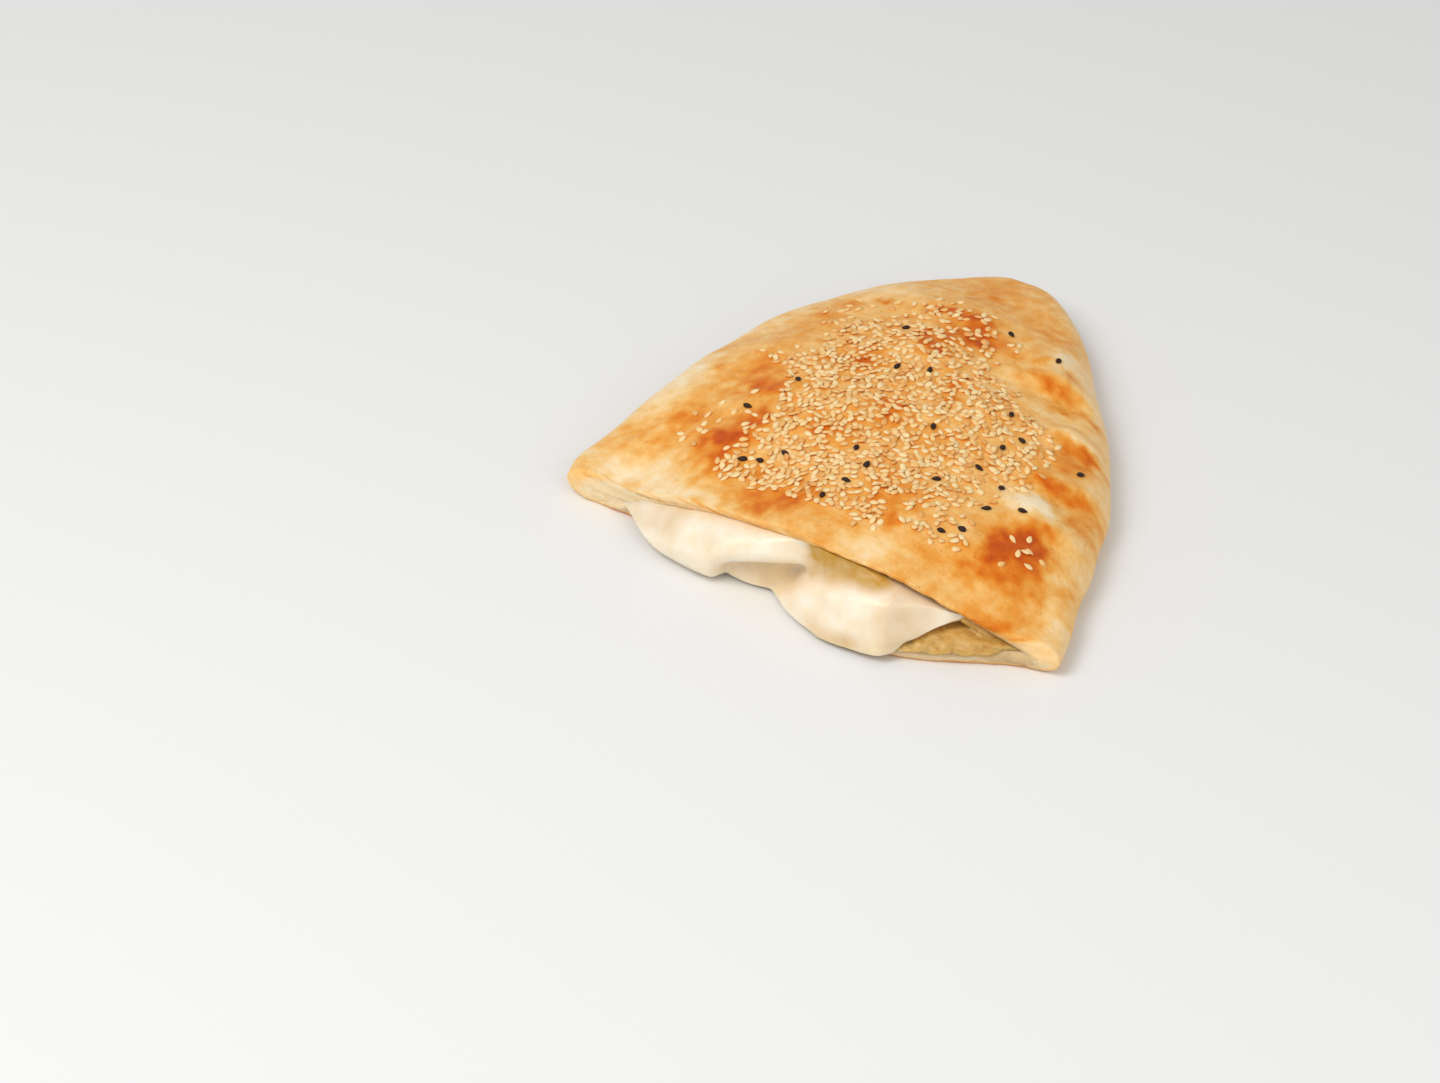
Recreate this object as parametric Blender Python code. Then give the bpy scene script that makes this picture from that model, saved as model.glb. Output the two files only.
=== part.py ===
"""Half of a filled flatbread, cut across the middle: a seeded crust round two melted cheeses.

The dough is one closed envelope with a pocket that opens at the cut. White cheese fills the middle of
the pocket and runs out over the lower lip, and yellow cheese fills the rest.
Lengths are in millimetres until a mesh is made, in metres.
The cut frame has x along the cut, y from the cut towards the round corner and z up from the underside.
"""

import math

import bmesh
import bpy
import numpy as np
from mathutils import Matrix, Vector

MM = 0.001

# The plan of the bread
DEPTH = 159.0  # from the chord of the cut to the round corner
CUT_HALF = 79.5  # half the chord of the cut
SIDE_POWER = 1.72
SIDE_ROOT = 1.6
CUT_MIDDLE = 3.0  # where the axis of the bread crosses the cut
CORNER_DRIFT = 20.5  # how far the round corner lies to the left of that
DRIFT_POWER = 1.5
# How far the lips stand forward of the chord, and where: the middle, the reach to the left and to the right
UPPER_BOW = 11.5
UPPER_BOW_SPAN = (16, 80, 66)
LOWER_BOW = 16.8
LOWER_BOW_SPAN = (31, 34, 45)
BOW_REACH = 30.0  # the bow dies away this far behind the cut
RIM_WANDER = 0.3  # unevenness of the outline
# Where the outline swells out or draws in: side, depth, reach along it, how far out
RIM_SWELLS = (
    (1, 24, 16, -1.4),
    (1, 72, 16, 1.5),
    (1, 122, 16, -2.4),
    (-1, 7, 7, 1.7),
    (-1, 36, 15, -1.2),
    (-1, 98, 24, 3.0),
    (-1, 150, 10, -2.2),
)
ORIGIN = (1.5, 68.4)  # the middle of the footprint, in the cut frame

# The thickness of the bread
NOSE_HEIGHT = 4.5  # the rim is furthest out at this height
RIM_RISE = 5.0
RIM_RADIUS = 7.0
UNDER_RADIUS = 9.0
CROWN = 19.5  # the dome above the rim
CUT_SINK = 0.26  # the share of the dome that is pressed down at the cut
CUT_ARCH = (18, 74, 54)  # the middle of the dome at the cut, its reach to the left and to the right
TOP_CRUST = 3.0
BOTTOM_CRUST = 3.6
LIP_ROUNDING = 0.9
GAP = 0.4  # between the cheeses and the dough
ROOM = 0.6  # round the white cheese, in the yellow

# The pocket
POCKET_LEFT = 23.5  # solid dough beside the pocket, at the left end of the cut
POCKET_RIGHT = 10.0
POCKET_SIDE = 12.0  # and on both sides further in
POCKET_DEPTH = 138.0

# Toasted bubbles of the crust: x, y, radius, height
BUBBLES = (
    (-40, 46, 9, 1.6),
    (-38, 21, 8, 1.1),
    (-11, 88, 10, 1.2),
    (-10, 118, 9, 1.4),
    (-32, 115, 7, 0.8),
    (-1, 55, 8, 1.0),
    (-12, 50, 6, 0.8),
    (56, 21, 12, 1.4),
    (42, 84, 8, 1.5),
    (20, 122, 8, 1.4),
    (-62, 16, 9, 0.9),
    (-18, 0, 9, 0.7),
    (6, 2, 9, 0.6),
    (-54, 70, 8, 1.0),
    (20, 104, 10, 1.3),
)
# Folds of the dough that run in from the right-hand rim: x, y, half length, half width, height
FOLDS = (
    (31, 104, 15, 4.2, 1.5),
    (45, 80, 14, 4.2, 1.5),
    (54, 61, 14, 4.6, 1.7),
    (60, 40, 13, 4.6, 1.3),
)
FOLD_ANGLE = math.radians(20)
SWELL = 0.7  # broad unevenness of the dome, and its wavelength
SWELL_LENGTH = 40.0

# The white cheese inside the pocket
SLAB_ENDS = (-46.0, 60.0)  # along the cut
SLAB_DEPTH = 112.0
SLAB_ROOF = 1.7  # yellow cheese over it
BED = BOTTOM_CRUST + 2 * GAP + 1.2  # its underside, over as thin a layer
# The roll of white cheese under the upper lip, on the left: middle, reach to the left and to the right
ROLL = (-18.0, 28.5, 33.0)
ROLL_FRONT = 15.5
ROLL_DROP = -21.0  # left of here it hangs down over the lower lip
# The web of white cheese that hangs between the roll and the tongue
WEB = (-9.0, 16.0, 20.0)
WEB_FRONT = 8.5
# The tongue of white cheese over the lower lip, on the right: x, how far it stands forward, crest height
TONGUE = (
    (-5, 7.5, 1.0),
    (0, 12.3, 2.5),
    (6, 16.2, 7.0),
    (12, 18.8, 10.2),
    (20, 21.6, 13.6),
    (27, 22.3, 15.6),
    (33, 21.2, 16.2),
    (39, 19.8, 16.6),
    (45, 14.8, 15.6),
    (52, 8.6, 13.5),
    (60, 1.5, 11.5),
)
TONGUE_LEAN = 5.0  # its crest lies this far behind its foot
HANG_FLOOR = 0.7

# Seeds
SESAME = (3.1, 1.9, 1.1)  # length, width, thickness
NIGELLA = (2.8, 1.8, 1.5)
SESAME_COUNT = 130
SESAME_SPACING = 4.2
SEED_FIELD = (-62, 66)  # they lie between these places along the cut
SEED_ASIDE = 0.84  # and within this share of the half width
SEED_FRONT = 24.0  # they thin out from this depth towards the cut
SEED_BACK = 128.0  # and end at this one
SEED_SINK = 0.3  # the share of a seed's thickness that is in the dough
NIGELLA_PLACES = (
    (-24, 96),
    (1, 114),
    (20, 108),
    (-13, 73),
    (-4, 76),
    (-33, 52),
    (-39, 35),
    (12, 51),
    (25, 72),
    (33, 64),
    (31, 57),
    (0, 30),
    (7, 24),
    (-17, 20),
    (-22, 15),
    (-27, 14),
    (6, 15),
    (4, 6),
    (25, 31),
    (31, 44),
    (40, 41),
    (51, 66),
    (42, 29),
    (50, 35),
    (38, 12),
    (42, 16),
)

# How finely the surfaces are divided
TOP_COLUMNS = 34
UNDER_COLUMNS = 20
OUTER_RINGS = 28
POCKET_RINGS = 8
EDGE_CROWDING = 0.5
FILLING_COLUMNS = 24
FILLING_RINGS = 6
FACE_ROWS = 11


def half_width(y):
    """Half the width of the bread at depth y: a blunt arch."""
    s = np.clip(y / DEPTH, 0, 1)
    return CUT_HALF * (1 - s**SIDE_POWER) ** (1 / SIDE_ROOT)


def axis_x(y):
    """The middle of the bread at depth y, which drifts to the left towards the round corner."""
    s = np.clip(y / DEPTH, 0, 1)
    return CUT_MIDDLE - CORNER_DRIFT * (1 - (1 - s) ** DRIFT_POWER)


def arch(x, middle, left, right):
    """A parabola of height 1 over middle that comes down to 0 at its reach on each side."""
    u = np.where(x < middle, (middle - x) / left, (x - middle) / right)
    return np.clip(1 - u * u, 0, 1)


def step(t):
    """A smooth step from 0 to 1 while t goes from 0 to 1."""
    t = np.clip(t, 0, 1)
    return t * t * (3 - 2 * t)


def upper_bow(x):
    """How far the upper lip stands forward of the chord of the cut."""
    return UPPER_BOW * arch(x, *UPPER_BOW_SPAN) ** 1.5


def lower_bow(x):
    """How far the lower lip stands forward of the chord of the cut."""
    return LOWER_BOW * arch(x, *LOWER_BOW_SPAN) ** 1.7


def waves(x, y, length, seed, count=16):
    """Smooth random unevenness of about plus and minus 1: plane waves in seeded directions, added up."""
    draw = np.random.default_rng(seed)
    total = 0.0
    for _ in range(count):
        angle = draw.uniform(0, 2 * np.pi)
        number = 2 * np.pi / (length * draw.uniform(0.7, 1.4))
        phase = draw.uniform(0, 2 * np.pi)
        total = total + np.cos(number * (x * np.cos(angle) + y * np.sin(angle)) + phase)
    return total / np.sqrt(count)


def relief(x, y):
    """Bubbles, folds and broad swells of the upper crust, above the plain dome."""
    z = SWELL * waves(x, y, SWELL_LENGTH, 11)
    for bx, by, radius, height in BUBBLES:
        z = z + height * np.exp(-((x - bx) ** 2 + (y - by) ** 2) / radius**2)
    for fx, fy, length, width, height in FOLDS:
        along = (x - fx) * math.cos(FOLD_ANGLE) + (y - fy) * math.sin(FOLD_ANGLE)
        across = (y - fy) * math.cos(FOLD_ANGLE) - (x - fx) * math.sin(FOLD_ANGLE)
        z = z + height * np.exp(-((along / length) ** 2) - (across / width) ** 2)
        dip = np.exp(-((along / length) ** 2) - (across / width + 1.6) ** 2)
        z = z - 0.6 * height * dip
    return z


def dome_height(x, y):
    """Height of the plain crust at x on the ring of depth y, and how far inside the rim that is, 0 to 1."""
    width = np.maximum(half_width(y), 1e-6)
    xi = np.clip((x - axis_x(y)) / width, -1, 1)
    inwards = np.clip(width * (1 - np.abs(xi)) / RIM_RADIUS, 0, 1)
    from_corner = np.clip((DEPTH - y) / RIM_RADIUS, 0, 1)
    rim = np.sqrt(1 - (1 - inwards) ** 2) * np.sqrt(1 - (1 - from_corner) ** 2)
    s = np.clip(y / DEPTH, 0, 1)
    crown = CROWN * (1 - s**2.2) ** 0.9 * (1 - CUT_SINK * (1 - s) ** 4)
    at_cut = np.exp(-((y / 25) ** 2))
    across = arch(x, *CUT_ARCH) ** np.where(x < CUT_ARCH[0], 1.0, 1.2)
    dome = (1 - at_cut) * (1 - xi * xi) ** 0.75 + at_cut * across
    inside = np.clip(width * (1 - np.abs(xi)) / 14, 0, 1) * rim
    return NOSE_HEIGHT + RIM_RISE * rim + crown * dome, inside


def top_height(x, y):
    """Height of the crust at x on the ring of depth y, with the relief, which fades at the rim."""
    height, inside = dome_height(x, y)
    return height + inside * relief(x, y)


def under_height(x, y):
    """Height of the underside: flat, with a rounded edge up to the rim."""
    inwards = np.clip((half_width(y) - np.abs(x - axis_x(y))) / UNDER_RADIUS, 0, 1)
    u = inwards * np.clip((DEPTH - y) / UNDER_RADIUS, 0, 1)
    return NOSE_HEIGHT * (1 - np.sqrt(1 - (1 - u) ** 2))


def spread(count):
    """Places from -1 to 1, both included, closer together towards the ends."""
    t = np.linspace(0, 1, count + 1)
    return (1 - EDGE_CROWDING) * (2 * t - 1) - EDGE_CROWDING * np.cos(np.pi * t)


def line(x, y, z):
    """Points from arrays, or numbers, of coordinates."""
    return np.stack(np.broadcast_arrays(np.asarray(x, float), y, z), axis=1)


def closed_ring(over, under):
    """A ring from two lines of points with the same ends: over from left to right, and under back again."""
    ends = (over[[0, -1]] + under[[0, -1]]) / 2
    return np.concatenate([ends[:1], over[1:-1], ends[1:], under[-2:0:-1]])


def swelling(xi, y):
    """How far to the right the outline's swells and its unevenness move the crust."""
    moved = RIM_WANDER * step(y / 20) * xi * np.abs(xi) * waves(xi, y, 32, 5)
    for side, at, reach, out in RIM_SWELLS:
        moved = moved + side * out * math.exp(-(((y - at) / reach) ** 2)) * np.clip(side * xi, 0, 1) ** 2
    return moved


def outer_ring(y):
    """One cross-section of the bread at depth y."""
    lines = []
    sides = ((TOP_COLUMNS, upper_bow, top_height), (UNDER_COLUMNS, lower_bow, under_height))
    for count, bow, height in sides:
        xi = spread(count)
        x = axis_x(y) + half_width(y) * xi
        lines.append(line(x + swelling(xi, y), y - bow(x) * math.exp(-y / BOW_REACH), height(x, y)))
    return closed_ring(*lines)


def lens(xi):
    """How thick a body is between its two ends, at -1 and 1."""
    return np.clip(1 - np.abs(xi) ** 3, 0, 1) ** 0.6


def pocket_depths():
    """The depths at which the pocket is drawn, closer together towards its back."""
    t = np.arange(1, POCKET_RINGS) / POCKET_RINGS
    return [6.0, *(POCKET_DEPTH * (0.4 * t + 0.6 * np.sin(np.pi / 2 * t))).tolist()]


def pocket_lines(y, inset, over_count, under_count):
    """The ceiling and the floor of the pocket at depth y, drawn in by inset: a lens between the crusts."""
    near = math.exp(-((y / 30) ** 2))
    low = axis_x(y) - half_width(y) + POCKET_SIDE + (POCKET_LEFT - POCKET_SIDE) * near
    high = axis_x(y) + half_width(y) - POCKET_SIDE - (POCKET_RIGHT - POCKET_SIDE) * near
    middle, width = (low + high) / 2, max((high - low) / 2 - 3 * inset, 0.1)
    closing = math.sqrt(max(1 - (y / (POCKET_DEPTH - inset)) ** 8, 0.0))
    lines = []
    for side, count, bow in ((1, over_count, upper_bow), (-1, under_count, lower_bow)):
        xi = spread(count)
        x = middle + width * xi
        ceiling = dome_height(x, y)[0] - TOP_CRUST - inset
        floor = BOTTOM_CRUST + inset
        half = np.maximum((ceiling - floor) / 2, 0.2) * lens(xi) * closing
        lines.append(line(x, y - bow(x) * math.exp(-y / BOW_REACH), (ceiling + floor) / 2 + side * half))
    return lines


def pocket_height(x, y, side):
    """Height of the ceiling, side 0, or of the floor, side 1, of the pocket at x on the ring of depth y."""
    points = pocket_lines(y, GAP, 60, 60)[side]
    return np.interp(x, points[:, 0], points[:, 2])


def roll_foot(x):
    """Height of the lower edge of the roll: below the floor where it hangs, then rising to the right."""
    return -3 + 16.4 * np.clip((x - ROLL_DROP) / 31, 0, 1) ** 0.3


def face_top(x):
    """Height of the white cheese at the upper lip: the ceiling, with dips at left and in the middle."""
    left = 3.2 * np.clip((-27 - x) / 19, 0, 1)
    middle = 3.2 * np.exp(-(((x - 21) / 9) ** 2))
    return pocket_height(x, 0.0, 0) - left - middle


def front(x, z):
    """How far the white cheese stands forward at height z: a plain face, the roll, the web and the tongue."""
    share = np.clip((z - BOTTOM_CRUST) / np.maximum(pocket_height(x, 0.0, 0) - BOTTOM_CRUST, 1), 0, 1)
    plain = lower_bow(x) + (upper_bow(x) - lower_bow(x)) * share - 1.6
    web = WEB_FRONT * arch(x, *WEB) ** 0.5
    foot, top = roll_foot(x), face_top(x)
    v = (2 * z - foot - top) / np.maximum(top - foot, 1)
    roll = plain + (ROLL_FRONT * arch(x, *ROLL) ** 0.33 - plain) * np.clip(1 - v * v, 0, 1) ** 0.4
    roll = np.where(arch(x, *ROLL) > 0, roll, plain)
    xs, reaches, crests = np.array(TONGUE).T
    reach, crest = np.interp(x, xs, reaches), np.interp(x, xs, crests)
    lean = np.minimum(TONGUE_LEAN, 0.8 * crest) * np.clip(z / crest, 0, 1) ** 1.3
    tongue = reach - lean - 3 * np.clip(z - crest, 0, None) - 0.25 * np.clip(2 - z, 0, 2) ** 2
    return np.maximum.reduce([plain, web + 0 * z, roll, tongue]) + 0.3 * waves(x, 2 * z, 17, 3)


def face_foot(x):
    """Height of the foot of the white cheese: it hangs where it is clear of the lip, and rises at right."""
    clear = np.minimum(front(x, HANG_FLOOR), front(x, 3.0)) - lower_bow(x)
    hanging = step((clear - 2.3) / 0.6) * step((x - SLAB_ENDS[0] - 1) / 3.5)
    return BED + 4.2 * np.clip((x - 43) / 17, 0, 1) - (BED - HANG_FLOOR) * hanging


def slab_lines(y):
    """The top and the bottom of the white cheese inside the pocket at depth y."""
    over = pocket_lines(y, 0.0, 2, 2)[0]
    mouth = pocket_lines(0.0, 0.0, 2, 2)[0]
    aside = 5 * (1 - math.exp(-y / 12))
    low = over[0, 0] - mouth[0, 0] + SLAB_ENDS[0] + aside
    high = over[-1, 0] - mouth[-1, 0] + SLAB_ENDS[1] - aside
    xi = spread(FILLING_COLUMNS)
    x = (low + high) / 2 + (high - low) / 2 * xi
    top = pocket_height(x, y, 0) - GAP - SLAB_ROOF
    foot = np.minimum(np.maximum(BED, pocket_height(x, y, 1) + 2 * GAP), top - 0.6)
    level = (top + foot) / 2
    half = (top - foot) / 2 * math.sqrt(1 - (y / SLAB_DEPTH) ** 6) * lens(xi)
    fade = math.exp(-y / BOW_REACH)
    return line(x, y - upper_bow(x) * fade, level + half), line(x, y - lower_bow(x) * fade, level - half)


def white_cheese():
    """Points and faces of the white cheese: rings from the back to the cut, round the lips, then its face."""
    turn = math.pi / 2 * (np.arange(FILLING_RINGS) + 0.5) / (FILLING_RINGS + 0.3)
    rings = [closed_ring(*slab_lines(y)) for y in (SLAB_DEPTH * np.cos(turn)).tolist()]
    xi = spread(FILLING_COLUMNS)
    x = sum(SLAB_ENDS) / 2 + (SLAB_ENDS[1] - SLAB_ENDS[0]) / 2 * xi
    top, foot, bow = face_top(x), face_foot(x), upper_bow(x)
    roof = pocket_height(x, 0.0, 0) - GAP - SLAB_ROOF
    bed = np.minimum(np.maximum(BED, pocket_height(x, 0.0, 1) + GAP), roof - 0.6)
    inner, outer = (roof + bed) / 2, (top + foot) / 2
    outer = outer + (inner - outer) * np.abs(xi) ** 6
    high = outer + (top - outer) * lens(xi)
    low = outer - (outer - foot) * lens(xi)
    bed = inner - (inner - bed) * lens(xi)
    ledge = inner + (np.maximum(top, inner + 0.3) - inner) * lens(xi)
    roof = inner + (roof - inner) * lens(xi)
    notch = np.minimum(lower_bow(x) + 2.2, front(x, low) - 0.7)
    rings.append(closed_ring(line(x, 5.4 - bow, roof), line(x, 1.2 - notch, bed)))
    rings.append(closed_ring(line(x, 4.2 - bow, ledge), line(x, -notch, bed)))
    rings.append(closed_ring(line(x, 1.8 - bow, high), line(x, -0.3 - notch, low)))
    rings.append(closed_ring(line(x, -front(x, high), high), line(x, -front(x, low), low)))
    rows = []
    for row in range(1, FACE_ROWS):
        z = high + (low - high) * row / FACE_ROWS
        rows.append(line(x, -front(x, z), z))
    return filling(rings, rows)


def yellow_cheese():
    """Points and faces of all that fills the pocket, before the room for the white cheese is cut out."""
    n = FILLING_COLUMNS
    rings = [closed_ring(*pocket_lines(y, GAP, n, n)) for y in reversed(pocket_depths()[:-2])]
    over, under = pocket_lines(4.0, GAP, n, n)[0], pocket_lines(1.0, GAP, n, n)[1]
    rings.append(closed_ring(over, under))
    rows = []
    for row in (1, 2, 3):
        points = over + (under - over) * row / 4
        points[:, 1] -= 0.8 + 0.5 * waves(points[:, 0], points[:, 2], 12, 8)
        rows.append(points)
    return filling(rings, rows)


def tube_faces(count, rings):
    """Quads between rings of count points each that follow one another."""
    faces = []
    for j in range(rings - 1):
        for i in range(count):
            k = (i + 1) % count
            faces.append((j * count + i, j * count + k, (j + 1) * count + k, (j + 1) * count + i))
    return faces


def filling(rings, rows):
    """Points and faces of a body: a pole at the back, rings, and rows of a face across the last ring."""
    n = FILLING_COLUMNS
    count = 2 * n
    points = np.concatenate([*rings, *[row[1:-1] for row in rows], [rings[0].mean(axis=0)]])
    faces = tube_faces(count, len(rings))
    faces += [((i + 1) % count, i, len(points) - 1) for i in range(count)]
    last = (len(rings) - 1) * count

    def at(column, row):
        if column in (0, n) or row == 0:
            return last + column
        if row == len(rows) + 1:
            return last + count - column
        return last + count + (row - 1) * (n - 1) + column - 1

    for i in range(n):
        for row in range(len(rows) + 1):
            corners = (at(i, row), at(i + 1, row), at(i + 1, row + 1), at(i, row + 1))
            faces.append(tuple(dict.fromkeys(corners)))
    return points, faces


def make_object(name, points, faces):
    """An object from points of the cut frame and faces, moved so that its footprint is centred."""
    data = bpy.data.meshes.new(name)
    data.from_pydata(((points - (*ORIGIN, 0.0)) * MM).tolist(), [], faces)
    mesh = bmesh.new()
    mesh.from_mesh(data)
    bmesh.ops.recalc_face_normals(mesh, faces=mesh.faces)
    mesh.to_mesh(data)
    mesh.free()
    obj = bpy.data.objects.new(name, data)
    bpy.context.scene.collection.objects.link(obj)
    return obj


def make_bread():
    """The envelope of dough: outer wall from the round corner to the cut, the cut face, then the pocket."""
    rings = []
    for i in range(1, OUTER_RINGS + 1):
        t = i / OUTER_RINGS
        rings.append(outer_ring(DEPTH * (0.5 * (1 - t) + 0.5 * (1 - t * t))))
    outside = rings[-1]
    inside = closed_ring(*pocket_lines(0.0, 0.0, TOP_COLUMNS, UNDER_COLUMNS))
    for share, forwards in ((0.15, 0.8), (0.5, 1.0), (0.85, 0.8), (1.0, 0.0)):
        ring = outside + (inside - outside) * share
        ring[:, 1] -= forwards * LIP_ROUNDING
        rings.append(ring)
    for y in pocket_depths():
        rings.append(closed_ring(*pocket_lines(y, 0.0, TOP_COLUMNS, UNDER_COLUMNS)))
    count, poles = len(outside), sum(len(ring) for ring in rings)
    corner = (axis_x(DEPTH), DEPTH, NOSE_HEIGHT)
    points = np.concatenate([*rings, [corner], [rings[-1].mean(axis=0)]])
    faces = tube_faces(count, len(rings))
    for i in range(count):
        k = (i + 1) % count
        faces.append((k, i, poles))
        faces.append((poles - count + i, poles - count + k, poles + 1))
    return make_object("bread", points, faces)


def seed_shape(length, width, thickness, around):
    """Points and faces of a seed along x: a drop with two rings and two poles."""
    turn = np.arange(around) * 2 * np.pi / around
    points = [(-length / 2, 0, 0)]
    for at, size in ((-0.22, 1.0), (0.22, 0.78)):
        ring = line(at * length, size * width / 2 * np.cos(turn), size * thickness / 2 * np.sin(turn))
        points += ring.tolist()
    points.append((length / 2, 0, 0))
    faces = []
    for i in range(around):
        k = (i + 1) % around
        faces += [(0, 1 + k, 1 + i), (2 * around + 1, 1 + around + i, 1 + around + k)]
        faces.append((1 + i, 1 + k, 1 + around + k, 1 + around + i))
    return np.array(points), faces


def seed_places():
    """Where seeds lie: the dark ones, then sesame strewn at random, clear of one another and of the rim."""
    draw = np.random.default_rng(7)
    places = [(x, y, draw.uniform(0, 2 * math.pi), "dark") for x, y in NIGELLA_PLACES]
    while len(places) < len(NIGELLA_PLACES) + SESAME_COUNT:
        x, y, chance = draw.uniform((SEED_FIELD[0], 0, 0), (SEED_FIELD[1], SEED_BACK, 1))
        aside = abs(x - axis_x(y)) / half_width(y)
        if chance > step((SEED_ASIDE - aside) / 0.25) * step(y / SEED_FRONT) * step((SEED_BACK - y) / 20):
            continue
        if min(math.hypot(x - px, y - py) for px, py, _, _ in places) < SESAME_SPACING:
            continue
        places.append((x, y, draw.uniform(0, 2 * math.pi), "pale"))
    return places


def strew(bread):
    """The seeds, each sunk a little into the crust and laid along it, joined to the bread by one union."""
    collection = bpy.data.collections.new("seeds")
    bpy.context.scene.collection.children.link(collection)
    for number, (x, y, turn, kind) in enumerate(seed_places()):
        size, around = (NIGELLA, 5) if kind == "dark" else (SESAME, 6)
        points, faces = seed_shape(*size, around)
        above = Vector(((x - ORIGIN[0]) * MM, (y - ORIGIN[1]) * MM, 0.1))
        _, spot, normal, _ = bread.ray_cast(above, Vector((0, 0, -1)))
        lying = Vector((0, 0, 1)).rotation_difference(normal).to_matrix() @ Matrix.Rotation(turn, 3, "Z")
        centre = np.array([x, y, spot.z / MM]) + np.array(normal) * (0.5 - SEED_SINK) * size[2]
        seed = make_object(f"seed_{number}", points @ np.array(lying).T + centre, faces)
        bpy.context.scene.collection.objects.unlink(seed)
        collection.objects.link(seed)
    union = bread.modifiers.new("strewn", "BOOLEAN")
    union.operation = "UNION"
    union.operand_type = "COLLECTION"
    union.collection = collection
    union.solver = "EXACT"
    apply_modifiers(bread)
    for seed in list(collection.objects):
        bpy.data.objects.remove(seed)
    bpy.data.collections.remove(collection)


def apply_modifiers(obj):
    """The object's mesh replaced by what its modifiers make of it."""
    made = bpy.data.meshes.new_from_object(obj.evaluated_get(bpy.context.evaluated_depsgraph_get()))
    obj.modifiers.clear()
    obj.data = made


def swollen_copy(obj, by):
    """The object cut into triangles, and a copy of it whose surface is moved outwards."""
    mesh = bmesh.new()
    mesh.from_mesh(obj.data)
    bmesh.ops.triangulate(mesh, faces=mesh.faces)
    mesh.to_mesh(obj.data)
    moves = [vert.normal * (by * MM * min(vert.calc_shell_factor(), 1.6)) for vert in mesh.verts]
    for vert, move in zip(mesh.verts, moves):
        vert.co += move
    data = bpy.data.meshes.new("room")
    mesh.to_mesh(data)
    mesh.free()
    copy = bpy.data.objects.new("room", data)
    bpy.context.scene.collection.objects.link(copy)
    return copy


def keep_largest(obj):
    """Drop the scraps that a cut leaves beside the main body."""
    mesh = bmesh.new()
    mesh.from_mesh(obj.data)
    left, bodies = set(mesh.verts), []
    while left:
        body, edge = set(), [left.pop()]
        while edge:
            vert = edge.pop()
            body.add(vert)
            near = {e.other_vert(vert) for e in vert.link_edges} & left
            left -= near
            edge.extend(near)
        bodies.append(body)
    bodies.sort(key=len)
    for body in bodies[:-1]:
        bmesh.ops.delete(mesh, geom=list(body), context="VERTS")
    mesh.to_mesh(obj.data)
    mesh.free()


def paint(obj, colour, roughness):
    """A plain material of the object's own, the colour given as sRGB bytes."""
    material = bpy.data.materials.new(obj.name)
    material.use_nodes = True
    shader = material.node_tree.nodes["Principled BSDF"]
    linear = [(c / 255 / 12.92) if c < 11 else ((c / 255 + 0.055) / 1.055) ** 2.4 for c in colour]
    shader.inputs["Base Color"].default_value = (*linear, 1)
    shader.inputs["Roughness"].default_value = roughness
    shader.inputs["Metallic"].default_value = 0.0
    obj.data.materials.clear()
    obj.data.materials.append(material)


def main():
    for obj in list(bpy.data.objects):
        bpy.data.objects.remove(obj)
    bread = make_bread()
    strew(bread)
    white = make_object("white_cheese", *white_cheese())
    yellow = make_object("yellow_cheese", *yellow_cheese())
    room = swollen_copy(white, ROOM)
    cut = yellow.modifiers.new("room for the white cheese", "BOOLEAN")
    cut.operation = "DIFFERENCE"
    cut.solver = "EXACT"
    cut.object = room
    apply_modifiers(yellow)
    bpy.data.objects.remove(room)
    keep_largest(yellow)
    paint(bread, (226, 160, 86), 0.6)
    paint(white, (246, 232, 203), 0.35)
    paint(yellow, (222, 188, 122), 0.45)


main()
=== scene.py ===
"""Half of a filled flatbread, cut across the middle: a seeded crust round white and yellow cheese."""

import math

import bpy
import numpy as np
from mathutils import Matrix, Vector


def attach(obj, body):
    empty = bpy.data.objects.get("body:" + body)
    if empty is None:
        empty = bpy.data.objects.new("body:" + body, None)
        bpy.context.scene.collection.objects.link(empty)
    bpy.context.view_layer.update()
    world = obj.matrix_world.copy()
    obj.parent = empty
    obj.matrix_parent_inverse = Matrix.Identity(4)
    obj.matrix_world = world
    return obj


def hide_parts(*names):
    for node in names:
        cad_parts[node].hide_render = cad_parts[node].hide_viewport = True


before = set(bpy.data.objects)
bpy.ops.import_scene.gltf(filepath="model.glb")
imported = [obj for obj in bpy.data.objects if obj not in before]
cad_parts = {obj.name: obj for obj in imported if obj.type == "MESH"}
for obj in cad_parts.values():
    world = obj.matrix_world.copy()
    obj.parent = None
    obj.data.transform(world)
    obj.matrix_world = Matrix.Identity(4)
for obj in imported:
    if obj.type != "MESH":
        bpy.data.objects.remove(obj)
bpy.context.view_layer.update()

# The dough: one thin flatbread folded round the filling and baked, so it is a closed envelope with a
# rounded rim. It was cut across the middle with a knife, which shows the crumb of both lips and the
# thick corner at left. Lengths are in millimetres: x along the cut, y from it to the round corner.

MM = 0.001
ORIGIN = (1.5, 68.4)  # the frame's origin, measured from the middle of the cut

# The outline
DEPTH = 159
CUT_HALF = 79.5
CUT_MIDDLE = 3
CORNER_DRIFT = 20.5
RIM_WANDER = (0, 20, 0.3)  # a climb along y: start, length, top
RIM_WAVES = (32, 5)  # wave length and seed
# Swells of the rim: side, y, reach along y, how far out
RIM_SWELLS = (
    (1, 24, 16, -1.4), (1, 72, 16, 1.5), (1, 122, 16, -2.4), (-1, 7, 7, 1.7), (-1, 36, 15, -1.2),
    (-1, 98, 24, 3), (-1, 150, 10, -2.2),
)

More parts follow.
